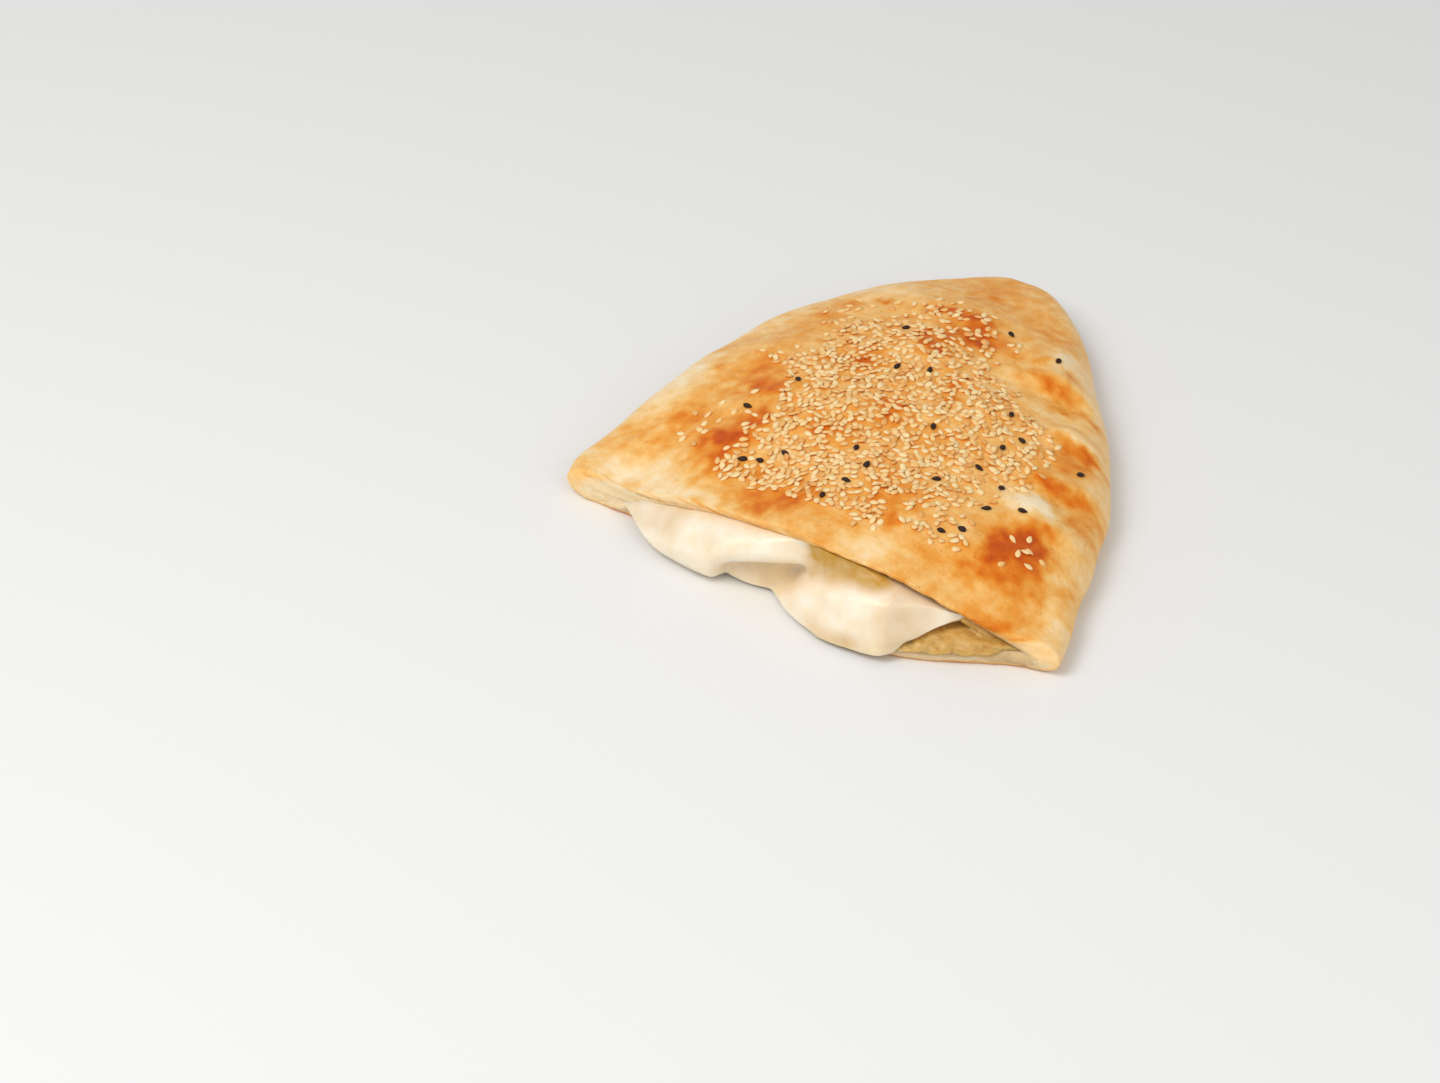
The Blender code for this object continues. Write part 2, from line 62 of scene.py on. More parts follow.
# How far each lip bows forward of the chord of the cut, over a middle and its reach to left and right
UPPER_BOW = 11.5
UPPER_BOW_SPAN = (16, 80, 66)
LOWER_BOW = 16.8
LOWER_BOW_SPAN = (31, 34, 45)
BOW_REACH = 30  # how deep in the bread the bows fade

# Heights of the rim and the dome
NOSE_HEIGHT = 4.5
RIM_RISE = 5
RIM_RADIUS = 7
UNDER_RADIUS = 9
CROWN = 19.5
CUT_SINK = 0.26  # how much lower the crown is at the cut
CUT_ARCH = (18, 74, 54)
CUT_ARCH_POWERS = (1, 1.2)  # left and right of its middle
CUT_ARCH_REACH = 25
RELIEF_MARGIN = 14  # the relief fades this near the rim

# The cut and the pocket
TOP_CRUST = 3
BOTTOM_CRUST = 3.6
LIP_ROUNDING = 0.9
UNDERCUT = 2.3  # of the upper lip
RAGGED_CUT = ((0.5, 5, 41), (0.3, 2.2, 42))  # height, wave length, seed, as in all layers
RAGGED_SHARES = (0.3, 0.6)  # of the upper and the lower lip
GAP = 0.4  # from the dough to the cheese
POCKET_LEFT = 23.5  # its side walls at the cut
POCKET_RIGHT = 10
POCKET_SIDE = 12  # and deeper in
POCKET_SIDE_REACH = 30
POCKET_DEPTH = 138
SIDE_INSET = 3  # its sides are drawn in by so many insets
THINNEST = 0.2
FIRST_DEPTHS = (4, 8, 12)  # more rings near the mouth

# Crust and crumb on the lips, mostly as climbs: start, length and, if not 1, top. Bands: start, length of
# the step up, end, length of the step down.
UPPER_SKIN = 0.16  # the share of the lip's height that is crust
MORE_SKIN = (-56, 14, 0.5)  # right of the thick corner
LOWER_SKIN = 0.04
CRUMB_EDGE = 0.2
SOAKED_BAND = (30, 8, 79, 6)
CLEAN_SHARE = 0.4  # of the lower lip, from below
SOAKED_FADE = 0.3
SOAKED_FULL = (60, 8)  # here it is soaked right down
SOAKED_POCKET = (5, 20)

TOP_COLUMNS = 270
UNDER_COLUMNS = 80
CRUST_RINGS = 232
LIP_RINGS = 14
POCKET_RINGS = 14
EDGE_CROWDING = 0.5

# Relief of the upper crust
CRUST_WAVES = ((0.7, 40, 11), (0.16, 11, 31), (0.06, 4.5, 32, 24))
# Toasted bubbles: x, y, radius, height
BUBBLES = (
    (-40, 46, 9, 1.6), (-38, 21, 8, 1.1), (-11, 88, 10, 1.2), (-10, 118, 9, 1.4), (-32, 115, 7, 0.8),
    (-1, 55, 8, 1), (-12, 50, 6, 0.8), (56, 21, 12, 1.4), (42, 84, 8, 1.5), (20, 122, 8, 1.4),
    (-62, 16, 9, 0.9), (-18, 0, 9, 0.7), (6, 2, 9, 0.6), (-54, 70, 8, 1), (20, 104, 10, 1.3),
    (50, 43, 6, 1.3), (21, 112, 5, 0.9),
)
# Folds that run in from the right-hand rim: x, y, half length, half width, height
FOLDS = (
    (31, 103, 15, 4, 2), (46, 81, 14, 4, 2.2), (56, 61, 14, 4.4, 2.2), (62, 40, 13, 4.4, 1.8),
)
FOLD_ANGLE = math.radians(20)
FOLD_WANDER = ((0.8, 13, 33),)
VALLEY_SHARE = 0.6  # of a fold's height
VALLEY_ASIDE = 1.6  # in half widths
BLISTERS = 420
BLISTER_X = (-78, 80)
BLISTER_Y = (-2, 158)
BLISTER_RADIUS = (0.8, 3)
BLISTER_RISE = (0.02, 0.10)  # height to radius
BLISTER_OVAL = (0.7, 1.3)

# Browning, from 0, pale, to 1, with a few spots of painted light and shade in it: how much, with layers
# of unevenness
EVEN_BROWN = 0.38
EVEN_WAVES = ((0.04, 24, 55), (0.04, 7, 56))
WARP_X = ((0.9, 16, 51), (0.8, 5, 52))
WARP_Y = ((0.9, 16, 53), (0.8, 5, 54))
SPOT_WAVES = ((0.2, 5, 57),)
RIM_PALER = 0.12
UNDER_BROWN = 0.46
UNDER_WAVES = ((0.10, 18, 58), (0.07, 6, 59))
UNDER_RIM_BROWN = 0.2
MOST_BROWN = 0.84
# Where the oven browned it, and a few spots of painted shadow: x, y, reach along x and y, how much
BROWNING_AND_SHADOW_SPOTS = (
    (-42, 45, 5, 4, 0.28), (-36, 47, 6, 5, 0.24), (-47, 57, 6, 7, 0.18), (-34, 32, 4.5, 6, 0.34),
    (-37, 21, 7, 4.5, 0.5), (-41, 25, 4, 3, 0.14), (-34, 14, 8, 3.5, 0.22), (-53, 28, 10, 3.5, 0.16),
    (-18, 17, 5, 4, 0.26), (-15, 36, 5, 2.5, 0.24), (-9, 4, 5, 2.5, 0.26), (-3, 9, 5, 3, 0.3),
    (-16, 7, 5, 3, 0.18), (1, 14, 3, 2, 0.2), (-4, 55, 6, 3.5, 0.36), (0, 50, 5, 5, 0.2),
    (-26, 73, 8, 4, 0.26), (-33, 68, 4, 5, 0.18), (5, 74, 2, 3, 0.28), (8, 67, 2, 4, 0.32),
    (-16, 95, 4, 4, 0.4), (-12, 90, 3, 4, 0.36), (-9, 86, 3, 3, 0.36), (-3, 105, 7, 5, 0.36),
    (-9, 100, 7, 5, 0.26), (-21, 113, 5, 3, 0.36), (-9, 113, 5, 4, 0.46), (-48, 106, 4, 2.5, 0.2),
    (-38, 111, 2.5, 2, 0.34), (-48, 94, 3, 3, 0.14), (-66, 73, 4, 7, 0.14), (-62, 54, 3, 3, 0.16),
    # The first three spots on this line are painted shadow, beside a bubble and along a fold near the
    # right rim
    (27, 106, 2.5, 4, 0.22), (26, 98, 8, 2.5, 0.22), (36, 94, 9, 3, 0.24), (46, 76, 6, 2.5, 0.34),
    (47, 69, 5, 4, 0.2), (47, 54, 5, 2.5, 0.26), (56, 57, 8, 3, 0.3), (62, 49, 4, 6, 0.18),
    (57, 26, 6, 7, 0.5), (53, 20, 4, 6, 0.36), (64, 21, 4, 7, 0.14), (49, 12, 6, 4, 0.2),
    (60, 14, 8, 4, 0.24), (70, 6, 6, 5, 0.1), (59, 35, 6, 3, 0.16), (74, 22, 4, 8, 0.14),
    (67, 0, 9, 1.5, 0.16), (20, 20, 7, 5, 0.14), (25, 14, 3, 2.5, 0.3), (27, 24, 5, 5, 0.12),
    (-20, 137, 14, 15, 0.06), (10, 120, 12, 9, 0.06), (0, 36, 34, 28, 0.03), (-60, 30, 12, 22, 0.05),
    (-72, 2, 7, 3, 0.1), (-68, 22, 5, 6, 0.14), (-24, 72, 6, 7, 0.1),
)
# Where it stayed pale, in the same way. The first, a pale puff near the right rim, is partly pale crust
# and partly painted highlight.
PALE_AND_HIGHLIGHT_SPOTS = (
    (50, 43, 7, 4.5, 0.54), (21, 112, 5, 4.5, 0.36), (22, 104, 5, 3, 0.14), (26, 86, 13, 5, 0.12),
    (44, 80, 7, 2, 0.2), (-58, 5, 13, 5, 0.28), (-34, 2, 15, 4, 0.24), (26, 4, 8, 4, 0.18),
    (36, 26, 8, 10, 0.08), (-70, 44, 9, 20, 0.26), (-52, 12, 8, 5, 0.26), (-68, 88, 9, 16, 0.14),
    (-44, 120, 10, 12, 0.2), (74, 10, 6, 7, 0.1), (68, 24, 2.5, 3, 0.16), (38, 100, 6, 10, 0.12),
    (30, 110, 5, 10, 0.1),
)

# Colours, in sRGB bytes: the crust by how brown it is, the crumb by how open, darker in its pits as
# painted shade
CRUST_SHADES = (
    (0.00, (254, 232, 192)), (0.15, (252, 216, 160)), (0.30, (248, 196, 118)), (0.45, (239, 165, 70)),
    (0.60, (228, 130, 30)), (0.76, (212, 97, 8)), (0.90, (192, 74, 4)), (1.00, (158, 52, 3)),
)
CRUMB_SHADES = (
    (0.30, (252, 216, 160)), (0.44, (255, 228, 178)), (0.62, (255, 237, 196)),
)
SPECK_COLOUR = (128, 66, 22)
CRUMB_PAINTED_SHADE = (184, 150, 114)
SOAKED_CRUMB = (190, 150, 92)


def part(x, start, length):
    """How far x is along a length from start, 0 to 1. A length below 0 runs back."""
    return np.clip((x - start) / length, 0, 1)


def climb(x, start, length, top=1.0):
    """A smooth step from 0 at start to top a length further on: 3 t^2 - 2 t^3."""
    t = part(x, start, length)
    return top * (t * t * (3 - 2 * t))


def band(x, start, rise, end, fall):
    """1 between start and end: a smooth step up times one down."""
    return climb(x, start, rise) * climb(x, end, -fall)


def hill(x, at, reach, top=1.0):
    """A Gaussian hill: e^(-((x - at) / reach)^2)."""
    return top * np.exp(-(((x - at) / reach) ** 2))


def quarter_round(x, start, length):
    """A quarter circle from 0 at start to 1 a length further on: the root of 1 - (1 - t)^2."""
    return np.sqrt(1 - (1 - part(x, start, length)) ** 2)


def half_width(y):
    """Half the width of the bread at depth y: a blunt arch, (1 - s^1.72)^(1 / 1.6)."""
    s = part(y, 0, DEPTH)
    return CUT_HALF * (1 - s**1.72) ** (1 / 1.6)


def axis_x(y):
    """The middle of the bread at depth y, which drifts to the left as 1 - (1 - s)^1.5."""
    s = part(y, 0, DEPTH)
    return CUT_MIDDLE - CORNER_DRIFT * (1 - (1 - s) ** 1.5)


def arch(x, middle, left, right):
    """A parabola of height 1 over middle, down to 0 at its reach on each side."""
    u = np.where(x < middle, (middle - x) / left, (x - middle) / right)
    return np.clip(1 - u * u, 0, 1)


def upper_bow(x):
    """How far the upper lip bows forward: an arch to the power 1.5."""
    return UPPER_BOW * arch(x, *UPPER_BOW_SPAN) ** 1.5


def lower_bow(x):
    """How far the lower lip bows forward: an arch to the power 1.7."""
    return LOWER_BOW * arch(x, *LOWER_BOW_SPAN) ** 1.7


def bowed(x, y, bow):
    """Depth y, drawn forward by the bow of a lip, which fades as e^(-y / 30)."""
    return y - bow(x) * np.exp(-y / BOW_REACH)


def waves(x, y, length, seed, count=16):
    """Unevenness of about plus and minus 1: seeded plane waves, added up."""
    draw = np.random.default_rng(seed)
    total = 0.0
    for _ in range(count):
        angle = draw.uniform(0, 2 * np.pi)
        number = 2 * np.pi / (length * draw.uniform(0.7, 1.4))
        phase = draw.uniform(0, 2 * np.pi)
        total = total + np.cos(number * (x * np.cos(angle) + y * np.sin(angle)) + phase)
    return total / np.sqrt(count)


def uneven(x, y, layers, level=0.0):
    """A level with layers of waves on it: height, length, seed and, if not 16, how many waves."""
    for height, *kind in layers:
        level = level + height * waves(x, y, *kind)
    return level


def bumps(x, y, spots):
    """A sum of oval Gaussian hills: x, y, reach along x and y, height."""
    total = np.zeros(np.broadcast(x, y).shape)
    for sx, sy, rx, ry, height in spots:
        total = total + hill(x, sx, rx, height) * hill(y, sy, ry)
    return total


def blister_spots():
    """Small oval blisters strewn by a seeded draw, the wider the higher."""
    draw = np.random.default_rng(21)
    x, y = draw.uniform(*BLISTER_X, BLISTERS), draw.uniform(*BLISTER_Y, BLISTERS)
    radius = draw.uniform(*BLISTER_RADIUS, BLISTERS)
    height = radius * draw.uniform(*BLISTER_RISE, BLISTERS)
    return np.stack([x, y, radius, radius * draw.uniform(*BLISTER_OVAL, BLISTERS), height], axis=1)


def relief(x, y):
    """Swells, bubbles, blisters and folds of the upper crust, added up above the plain dome.

    A fold is a long Gaussian hill, turned by its angle, less a lower one beside it.
    """
    z = uneven(x, y, CRUST_WAVES)
    z = z + bumps(x, y, [(bx, by, radius, radius, height) for bx, by, radius, height in BUBBLES])
    z = z + bumps(x, y, blister_spots())
    wander = uneven(x, y, FOLD_WANDER)
    for fx, fy, length, width, height in FOLDS:
        along = (x - fx) * math.cos(FOLD_ANGLE) + (y - fy) * math.sin(FOLD_ANGLE)
        across = (y - fy) * math.cos(FOLD_ANGLE) - (x - fx) * math.sin(FOLD_ANGLE) + wander
        valley = (0, -VALLEY_ASIDE * width, length, width, -VALLEY_SHARE * height)
        z = z + bumps(along, across, [(0, 0, length, width, height), valley])
    return z


def dome_height(x, y):
    """Height of the plain crust at x on the ring of depth y, and how far inside the rim that is.

    The rim is a quarter round. On it stands the crown, (1 - s^2.2)^0.9 along the bread and a little lower
    at the cut, times (1 - xi^2)^0.75 across it, or the arch of the cut near that.
    """
    width = np.maximum(half_width(y), 1e-6)
    xi = np.clip((x - axis_x(y)) / width, -1, 1)
    from_rim = width * (1 - np.abs(xi))
    rim = quarter_round(from_rim, 0, RIM_RADIUS) * quarter_round(y, DEPTH, -RIM_RADIUS)
    s = part(y, 0, DEPTH)
    crown = CROWN * (1 - s**2.2) ** 0.9 * (1 - CUT_SINK * (1 - s) ** 4)
    at_cut = hill(y, 0, CUT_ARCH_REACH)
    across = arch(x, *CUT_ARCH) ** np.where(x < CUT_ARCH[0], *CUT_ARCH_POWERS)
    dome = (1 - at_cut) * (1 - xi * xi) ** 0.75 + at_cut * across
    return NOSE_HEIGHT + RIM_RISE * rim + crown * dome, part(from_rim, 0, RELIEF_MARGIN) * rim


def under_height(x, y):
    """Height of the underside: flat, with a quarter round up to the rim."""
    from_rim = half_width(y) - np.abs(x - axis_x(y))
    u = part(from_rim, 0, UNDER_RADIUS) * part(y, DEPTH, -UNDER_RADIUS)
    return NOSE_HEIGHT * (1 - quarter_round(u, 0, 1))


def spread(count):
    """Places from -1 to 1, closer together at the ends: even ones mixed with a cosine."""
    t = np.linspace(0, 1, count + 1)
    return (1 - EDGE_CROWDING) * (2 * t - 1) - EDGE_CROWDING * np.cos(np.pi * t)


def swelling(xi, y):
    """How far to the right the outline's Gaussian swells and unevenness move the crust."""
    moved = climb(y, *RIM_WANDER) * xi * np.abs(xi) * waves(xi, y, *RIM_WAVES)
    for side, at, reach, out in RIM_SWELLS:
        moved = moved + hill(y, at, reach, side * out) * np.clip(side * xi, 0, 1) ** 2
    return moved


def points_of(x, y, z):
    """One array of points from arrays, or numbers, of coordinates."""
    return np.stack(np.broadcast_arrays(np.asarray(x, float), y, z), axis=-1)


def closed_rings(over, under):
    """Rings from two sheets with the same ends: over to the right, and under back."""
    ends = (over[:, [0, -1]] + under[:, [0, -1]]) / 2
    return np.concatenate([ends[:, :1], over[:, 1:-1], ends[:, 1:], under[:, -2:0:-1]], axis=1)


def lens(xi):
    """How thick a body is between its ends, at -1 and 1: (1 - |xi|^3)^0.6."""
    return np.clip(1 - np.abs(xi) ** 3, 0, 1) ** 0.6


def ring_depths(reach, count):
    """Depths of rings up to a reach, closer at its end: 0.4 t + 0.6 sin(pi t / 2) of it."""
    t = np.arange(1, count) / count
    return reach * (0.4 * t + 0.6 * np.sin(np.pi / 2 * t))


def pocket_sheets(y, inset, over_count, under_count):
    """The ceiling and the floor of the pocket at depths y, drawn in by inset.

    A lens between the crusts, which closes at its end as the root of 1 - (y / depth)^8.
    """
    y = np.asarray(y, float)[:, None]
    near = hill(y, 0, POCKET_SIDE_REACH)
    low = axis_x(y) - half_width(y) + POCKET_SIDE + (POCKET_LEFT - POCKET_SIDE) * near
    high = axis_x(y) + half_width(y) - POCKET_SIDE - (POCKET_RIGHT - POCKET_SIDE) * near
    middle, width = (low + high) / 2, np.maximum((high - low) / 2 - SIDE_INSET * inset, 0.1)
    closing = np.sqrt(np.maximum(1 - (y / (POCKET_DEPTH - inset)) ** 8, 0.0))
    sheets = []
    for side, count, bow in ((1, over_count, upper_bow), (-1, under_count, lower_bow)):
        xi = spread(count)[None, :]
        x = middle + width * xi
        ceiling = dome_height(x, y)[0] - TOP_CRUST - inset
        floor = BOTTOM_CRUST + inset
        half = np.maximum((ceiling - floor) / 2, THINNEST) * lens(xi) * closing
        sheets.append(points_of(x, bowed(x, y, bow), (ceiling + floor) / 2 + side * half))
    return sheets


def ring_faces(rings, around):
    """Quads between one ring and the next, as an array of corner numbers."""
    first = np.arange(rings - 1)[:, None] * around
    place = np.arange(around)[None, :]
    after = (place + 1) % around
    corners = [first + place, first + after, first + around + after, first + around + place]
    return np.stack(corners, axis=-1).reshape(-1, 4)


def fan_faces(ring, pole):
    """Triangles between a ring of corner numbers and a pole."""
    return np.stack([np.roll(ring, -1), ring, np.full(len(ring), pole)], axis=1)


def closed_body(rings, first_pole, last_pole):
    """Points and faces of a body: quads between its rings, and a fan to a pole at each end."""
    count, around = rings.shape[:2]
    last = count * around
    faces = [
        ring_faces(count, around),
        fan_faces(np.arange(around), last),
        fan_faces(np.arange(around)[::-1] + last - around, last + 1),
    ]
    return np.concatenate([rings.reshape(-1, 3), [first_pole, last_pole]]), faces


def make_piece(name, points, faces):
    """A mesh object from points in millimetres and faces, flipped if its volume is negative."""
    data = bpy.data.meshes.new(name)
    corners = [face for group in faces for face in group.tolist()]
    data.from_pydata(((points - (*ORIGIN, 0.0)) * MM).tolist(), [], corners)
    piece = bpy.data.objects.new(name, data)
    bpy.context.scene.collection.objects.link(piece)
    first, second, third = (np.concatenate([group[:, i] for group in faces]) for i in range(3))
    volume = np.einsum("ij,ij->i", points[first], np.cross(points[second], points[third])).sum()
    if volume < 0:
        data.flip_normals()
    data.shade_smooth()
    return piece


def give(piece, name, values):
    """A number for each point of the piece, for its material."""
    layer = piece.data.attributes.new(name, "FLOAT", "POINT")
    layer.data.foreach_set("value", np.asarray(values, np.float32).ravel())


def lip_paint(x, share, upper):
    """How much each point on the lips is crumb, and how much yellow cheese soaked it.

    Both are smooth steps along x and along the share of the way from the outer edge to the pocket.
    """
    skin = np.where(upper, UPPER_SKIN + climb(x, *MORE_SKIN), LOWER_SKIN)
    above_clean = share - CLEAN_SHARE * (1 - climb(x, *SOAKED_FULL))
    soaked = band(x, *SOAKED_BAND) * np.where(upper, 1.0, climb(above_clean, 0, SOAKED_FADE))
    return climb(share, skin, CRUMB_EDGE), soaked


def bread_surface():
    """The envelope as rings: the outside from the round corner to the cut, the lips, the pocket.

    With each point go its place on the plain crust, how much it is crumb, and how much yellow cheese
    soaked it. The lips go from edge to edge by a cosine and stand forward by the root of a sine.
    """
    t = np.arange(1, CRUST_RINGS + 1) / CRUST_RINGS
    y = (DEPTH * (1 - (t + t * t) / 2))[:, None]
    sheets, places = [], []
    for count, bow, top in ((TOP_COLUMNS, upper_bow, True), (UNDER_COLUMNS, lower_bow, False)):
        xi = spread(count)[None, :]
        x = axis_x(y) + half_width(y) * xi
        height, inside = dome_height(x, y)
        z = height + inside * relief(x, y) if top else under_height(x, y)
        sheets.append(points_of(x + swelling(xi, y), bowed(x, y, bow), z))
        places.append(points_of(x, y, inside if top else -inside))
    outer, place = closed_rings(*sheets), closed_rings(*places)

    ceiling, floor = pocket_sheets([0.0], 0.0, TOP_COLUMNS, UNDER_COLUMNS)
    ceiling[..., 1] += UNDERCUT * lens(spread(TOP_COLUMNS))
    mouth = closed_rings(ceiling, floor)[0]
    share = (0.5 - 0.5 * np.cos(np.pi * np.arange(1, LIP_RINGS + 1) / LIP_RINGS))[:, None]
    lips = outer[-1] + (mouth - outer[-1]) * share[..., None]
    upper = np.arange(TOP_COLUMNS + UNDER_COLUMNS) <= TOP_COLUMNS
    ragged = uneven(lips[..., 0], lips[..., 2], RAGGED_CUT) * np.where(upper, *RAGGED_SHARES)
    lips[..., 1] -= (LIP_ROUNDING + ragged) * np.sqrt(np.sin(np.pi * share))

    depths = sorted([*FIRST_DEPTHS, *ring_depths(POCKET_DEPTH, POCKET_RINGS)])
    pocket = closed_rings(*pocket_sheets(depths, 0.0, TOP_COLUMNS, UNDER_COLUMNS))

    crumb, soaked = lip_paint(lips[..., 0], share, upper)
    crumb = np.concatenate([0 * outer[..., 0], crumb, 1 + 0 * pocket[..., 0]])
    soaked = np.concatenate([0 * outer[..., 0], soaked, climb(pocket[..., 0], *SOAKED_POCKET)])
    kept = np.repeat(place[-1:], len(lips) + len(pocket), axis=0)
    return np.concatenate([outer, lips, pocket]), np.concatenate([place, kept]), crumb, soaked


def browning_with_light_and_shade(place):
    """How brown the oven left the crust, 0 to 1: an even gold with a paler rim.

    On it are Gaussian spots, read at warped places, or waves on the underside. A few of the spots are
    painted shadow beside the relief, and one is partly a painted highlight.
    """
    x, y, inside = place[..., 0], place[..., 1], np.abs(place[..., 2])
    warped = uneven(x, y, WARP_X, x), uneven(x, y, WARP_Y, y)
    brown_with_light_and_shade = uneven(x, y, EVEN_WAVES, EVEN_BROWN) - bumps(*warped, PALE_AND_HIGHLIGHT_SPOTS) - RIM_PALER * (1 - inside)
    brown_with_light_and_shade = brown_with_light_and_shade + bumps(*warped, BROWNING_AND_SHADOW_SPOTS) * uneven(x, y, SPOT_WAVES, 1)
    under = uneven(x, y, UNDER_WAVES, UNDER_BROWN) * inside + UNDER_RIM_BROWN * (1 - inside)
    return np.clip(np.where(place[..., 2] < 0, under, brown_with_light_and_shade), 0, MOST_BROWN)


rings, place, crumb, soaked = bread_surface()
corner = (axis_x(DEPTH), DEPTH, NOSE_HEIGHT)
crust = make_piece("crust", *closed_body(rings, corner, rings[-1].mean(axis=0)))
# The last two numbers are for the poles, in the round corner and at the end of the pocket
give(crust, "browning_with_light_and_shade", np.append(browning_with_light_and_shade(place).ravel(), (0.2, 0.2)))
give(crust, "crumb", np.append(crumb.ravel(), (0.0, 1.0)))
give(crust, "soaked", np.append(soaked.ravel(), (0.0, 0.0)))
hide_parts("bread")
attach(crust, "root")


def colour(red, green, blue):
    """A linear colour from sRGB bytes: a power of 2.4 above a short straight part."""
    s = np.array([red, green, blue]) / 255
    linear = np.where(s <= 0.04045, s / 12.92, ((s + 0.055) / 1.055) ** 2.4)
    return (*linear.tolist(), 1.0)


def new_material(name, roughness=0.5, specular=0.5):
    """A node material, its shader, and functions that add a node and link sockets."""
    material = bpy.data.materials.new(name)
    material.use_nodes = True
    tree = material.node_tree

    def add(kind, inputs=None, **settings):
        node = tree.nodes.new(kind)
        for key, value in settings.items():
            setattr(node, key, value)
        for key, value in (inputs or {}).items():
            if isinstance(value, bpy.types.NodeSocket):
                tree.links.new(value, node.inputs[key])
            else:
                node.inputs[key].default_value = value
        return node

    shader = tree.nodes["Principled BSDF"]
    shader.inputs["Roughness"].default_value = roughness
    shader.inputs["Specular IOR Level"].default_value = specular
    return material, shader, add, tree.links.new


def painted(add, name):
    """The numbers that give() left on the piece."""
    return add("ShaderNodeAttribute", attribute_name=name).outputs["Fac"]


def noise(add, cells, detail=3.0, rough=0.55, seed=0.0):
    """A noise on the piece's own coordinates, with so many cells to a metre."""
    place = add("ShaderNodeTexCoord").outputs["Object"]
    moved = add("ShaderNodeMapping", {"Vector": place, "Location": (seed, seed * 0.7, seed * 1.3)})
    settings = {"Vector": moved.outputs[0], "Scale": cells, "Detail": detail, "Roughness": rough}
    return add("ShaderNodeTexNoise", settings).outputs[0]


def maths(add, operation, first, second=0.0, third=0.0):
    """One step of arithmetic on sockets or numbers."""
    return add("ShaderNodeMath", {0: first, 1: second, 2: third}, operation=operation).outputs[0]


def varied(add, value, pattern, amount):
    """A value varied by a pattern: value + amount * (pattern - 0.5)."""
    return maths(add, "MULTIPLY_ADD", pattern, amount, maths(add, "SUBTRACT", value, amount / 2))


def ramp(add, value, stops):
    """Colours along a value: places, each with a colour in sRGB bytes."""
    node = add("ShaderNodeValToRGB", {"Fac": value})
    elements = node.color_ramp.elements
    while len(elements) < len(stops):
        elements.new(0.5)
    for element, (at, shade) in zip(elements, stops):
        element.position = at
        element.color = colour(*shade)
    return node.outputs[0]


def blend(add, share, strength, first, second):
    """A second colour over the first, by a share times a strength."""
    inputs = {0: maths(add, "MULTIPLY", share, strength), 6: first, 7: second}
    return add("ShaderNodeMix", inputs, data_type="RGBA", clamp_factor=True).outputs[2]


def roughen(add, shader, height, strength, distance):
    """Fine relief in the shading alone: a height pattern, a strength, and a depth in metres."""
    bump = add("ShaderNodeBump", {"Height": height, "Strength": strength, "Distance": distance})
    shader.id_data.links.new(bump.outputs[0], shader.inputs["Normal"])


def let_light_in(shader, weight, radius):
    """Light scattered below the surface: how much, and how far for red, green and blue."""
    for name, value in (("Weight", weight), ("Radius", radius), ("Scale", 1.0)):
        shader.inputs["Subsurface " + name].default_value = value


def baked_crust():
    """Golden crust browned in patches, with specks, and pale open crumb where it was cut. The crumb
    carries painted shade, darker beside browner crust and in its pits, and a few patches are painted
    shadow and highlight.
    """
    material, shader, add, link = new_material("baked_crust", specular=0.2)
    browned_with_light_and_shade, cut, soaked = painted(add, "browning_with_light_and_shade"), painted(add, "crumb"), painted(add, "soaked")
    mottle = noise(add, cells=240, detail=4.0, rough=0.6)
    middling = noise(add, cells=520, detail=2.0, rough=0.5, seed=7.0)
    fine = noise(add, cells=1100, rough=0.6, seed=3.0)
    value = browned_with_light_and_shade
    for pattern, amount in ((mottle, 0.26), (middling, 0.18), (fine, 0.08)):
        value = varied(add, value, pattern, amount)
    crust_colour = ramp(add, value, CRUST_SHADES)
    specks = maths(add, "GREATER_THAN", noise(add, cells=900, detail=1.0, rough=0.5, seed=9.0), 0.75)
    crust_colour = blend(add, specks, 0.35, crust_colour, colour(*SPECK_COLOUR))
    pores = noise(add, cells=700, detail=4.0, rough=0.65, seed=5.0)
    # Painted shade: the crumb is darker where its pores dent it
    crumb_colour = ramp(add, pores, CRUMB_SHADES)
    # Painted shade: the crumb darkens with the browning of the crust beside it, most on the lower lip
    crumb_colour = blend(add, browned_with_light_and_shade, 0.9, crumb_colour, colour(*CRUMB_PAINTED_SHADE))
    crumb_colour = blend(add, soaked, 0.5, crumb_colour, colour(*SOAKED_CRUMB))
    link(blend(add, cut, 1.0, crust_colour, crumb_colour), shader.inputs["Base Color"])
    sheen = maths(add, "MULTIPLY_ADD", mottle, 0.22, 0.34)
    link(maths(add, "MULTIPLY_ADD", cut, 0.25, sheen), shader.inputs["Roughness"])
    height = 0.0
    open_crumb = maths(add, "MULTIPLY", pores, cut)
    for pattern, amount in ((mottle, 0.7), (fine, 0.15), (middling, 0.5), (open_crumb, 0.5)):
        height = maths(add, "MULTIPLY_ADD", pattern, amount, height)
    roughen(add, shader, height, strength=0.6, distance=0.0008)
    let_light_in(shader, weight=0.06, radius=(0.002, 0.001, 0.0005))
    return material


crust.data.materials.append(baked_crust())

# Sesame: hulled white seeds strewn over the wet dough before it was baked, so each is sunk a little into
# the crust and toasted at its point. Flat drops, about 3 mm long, some leaning on others.

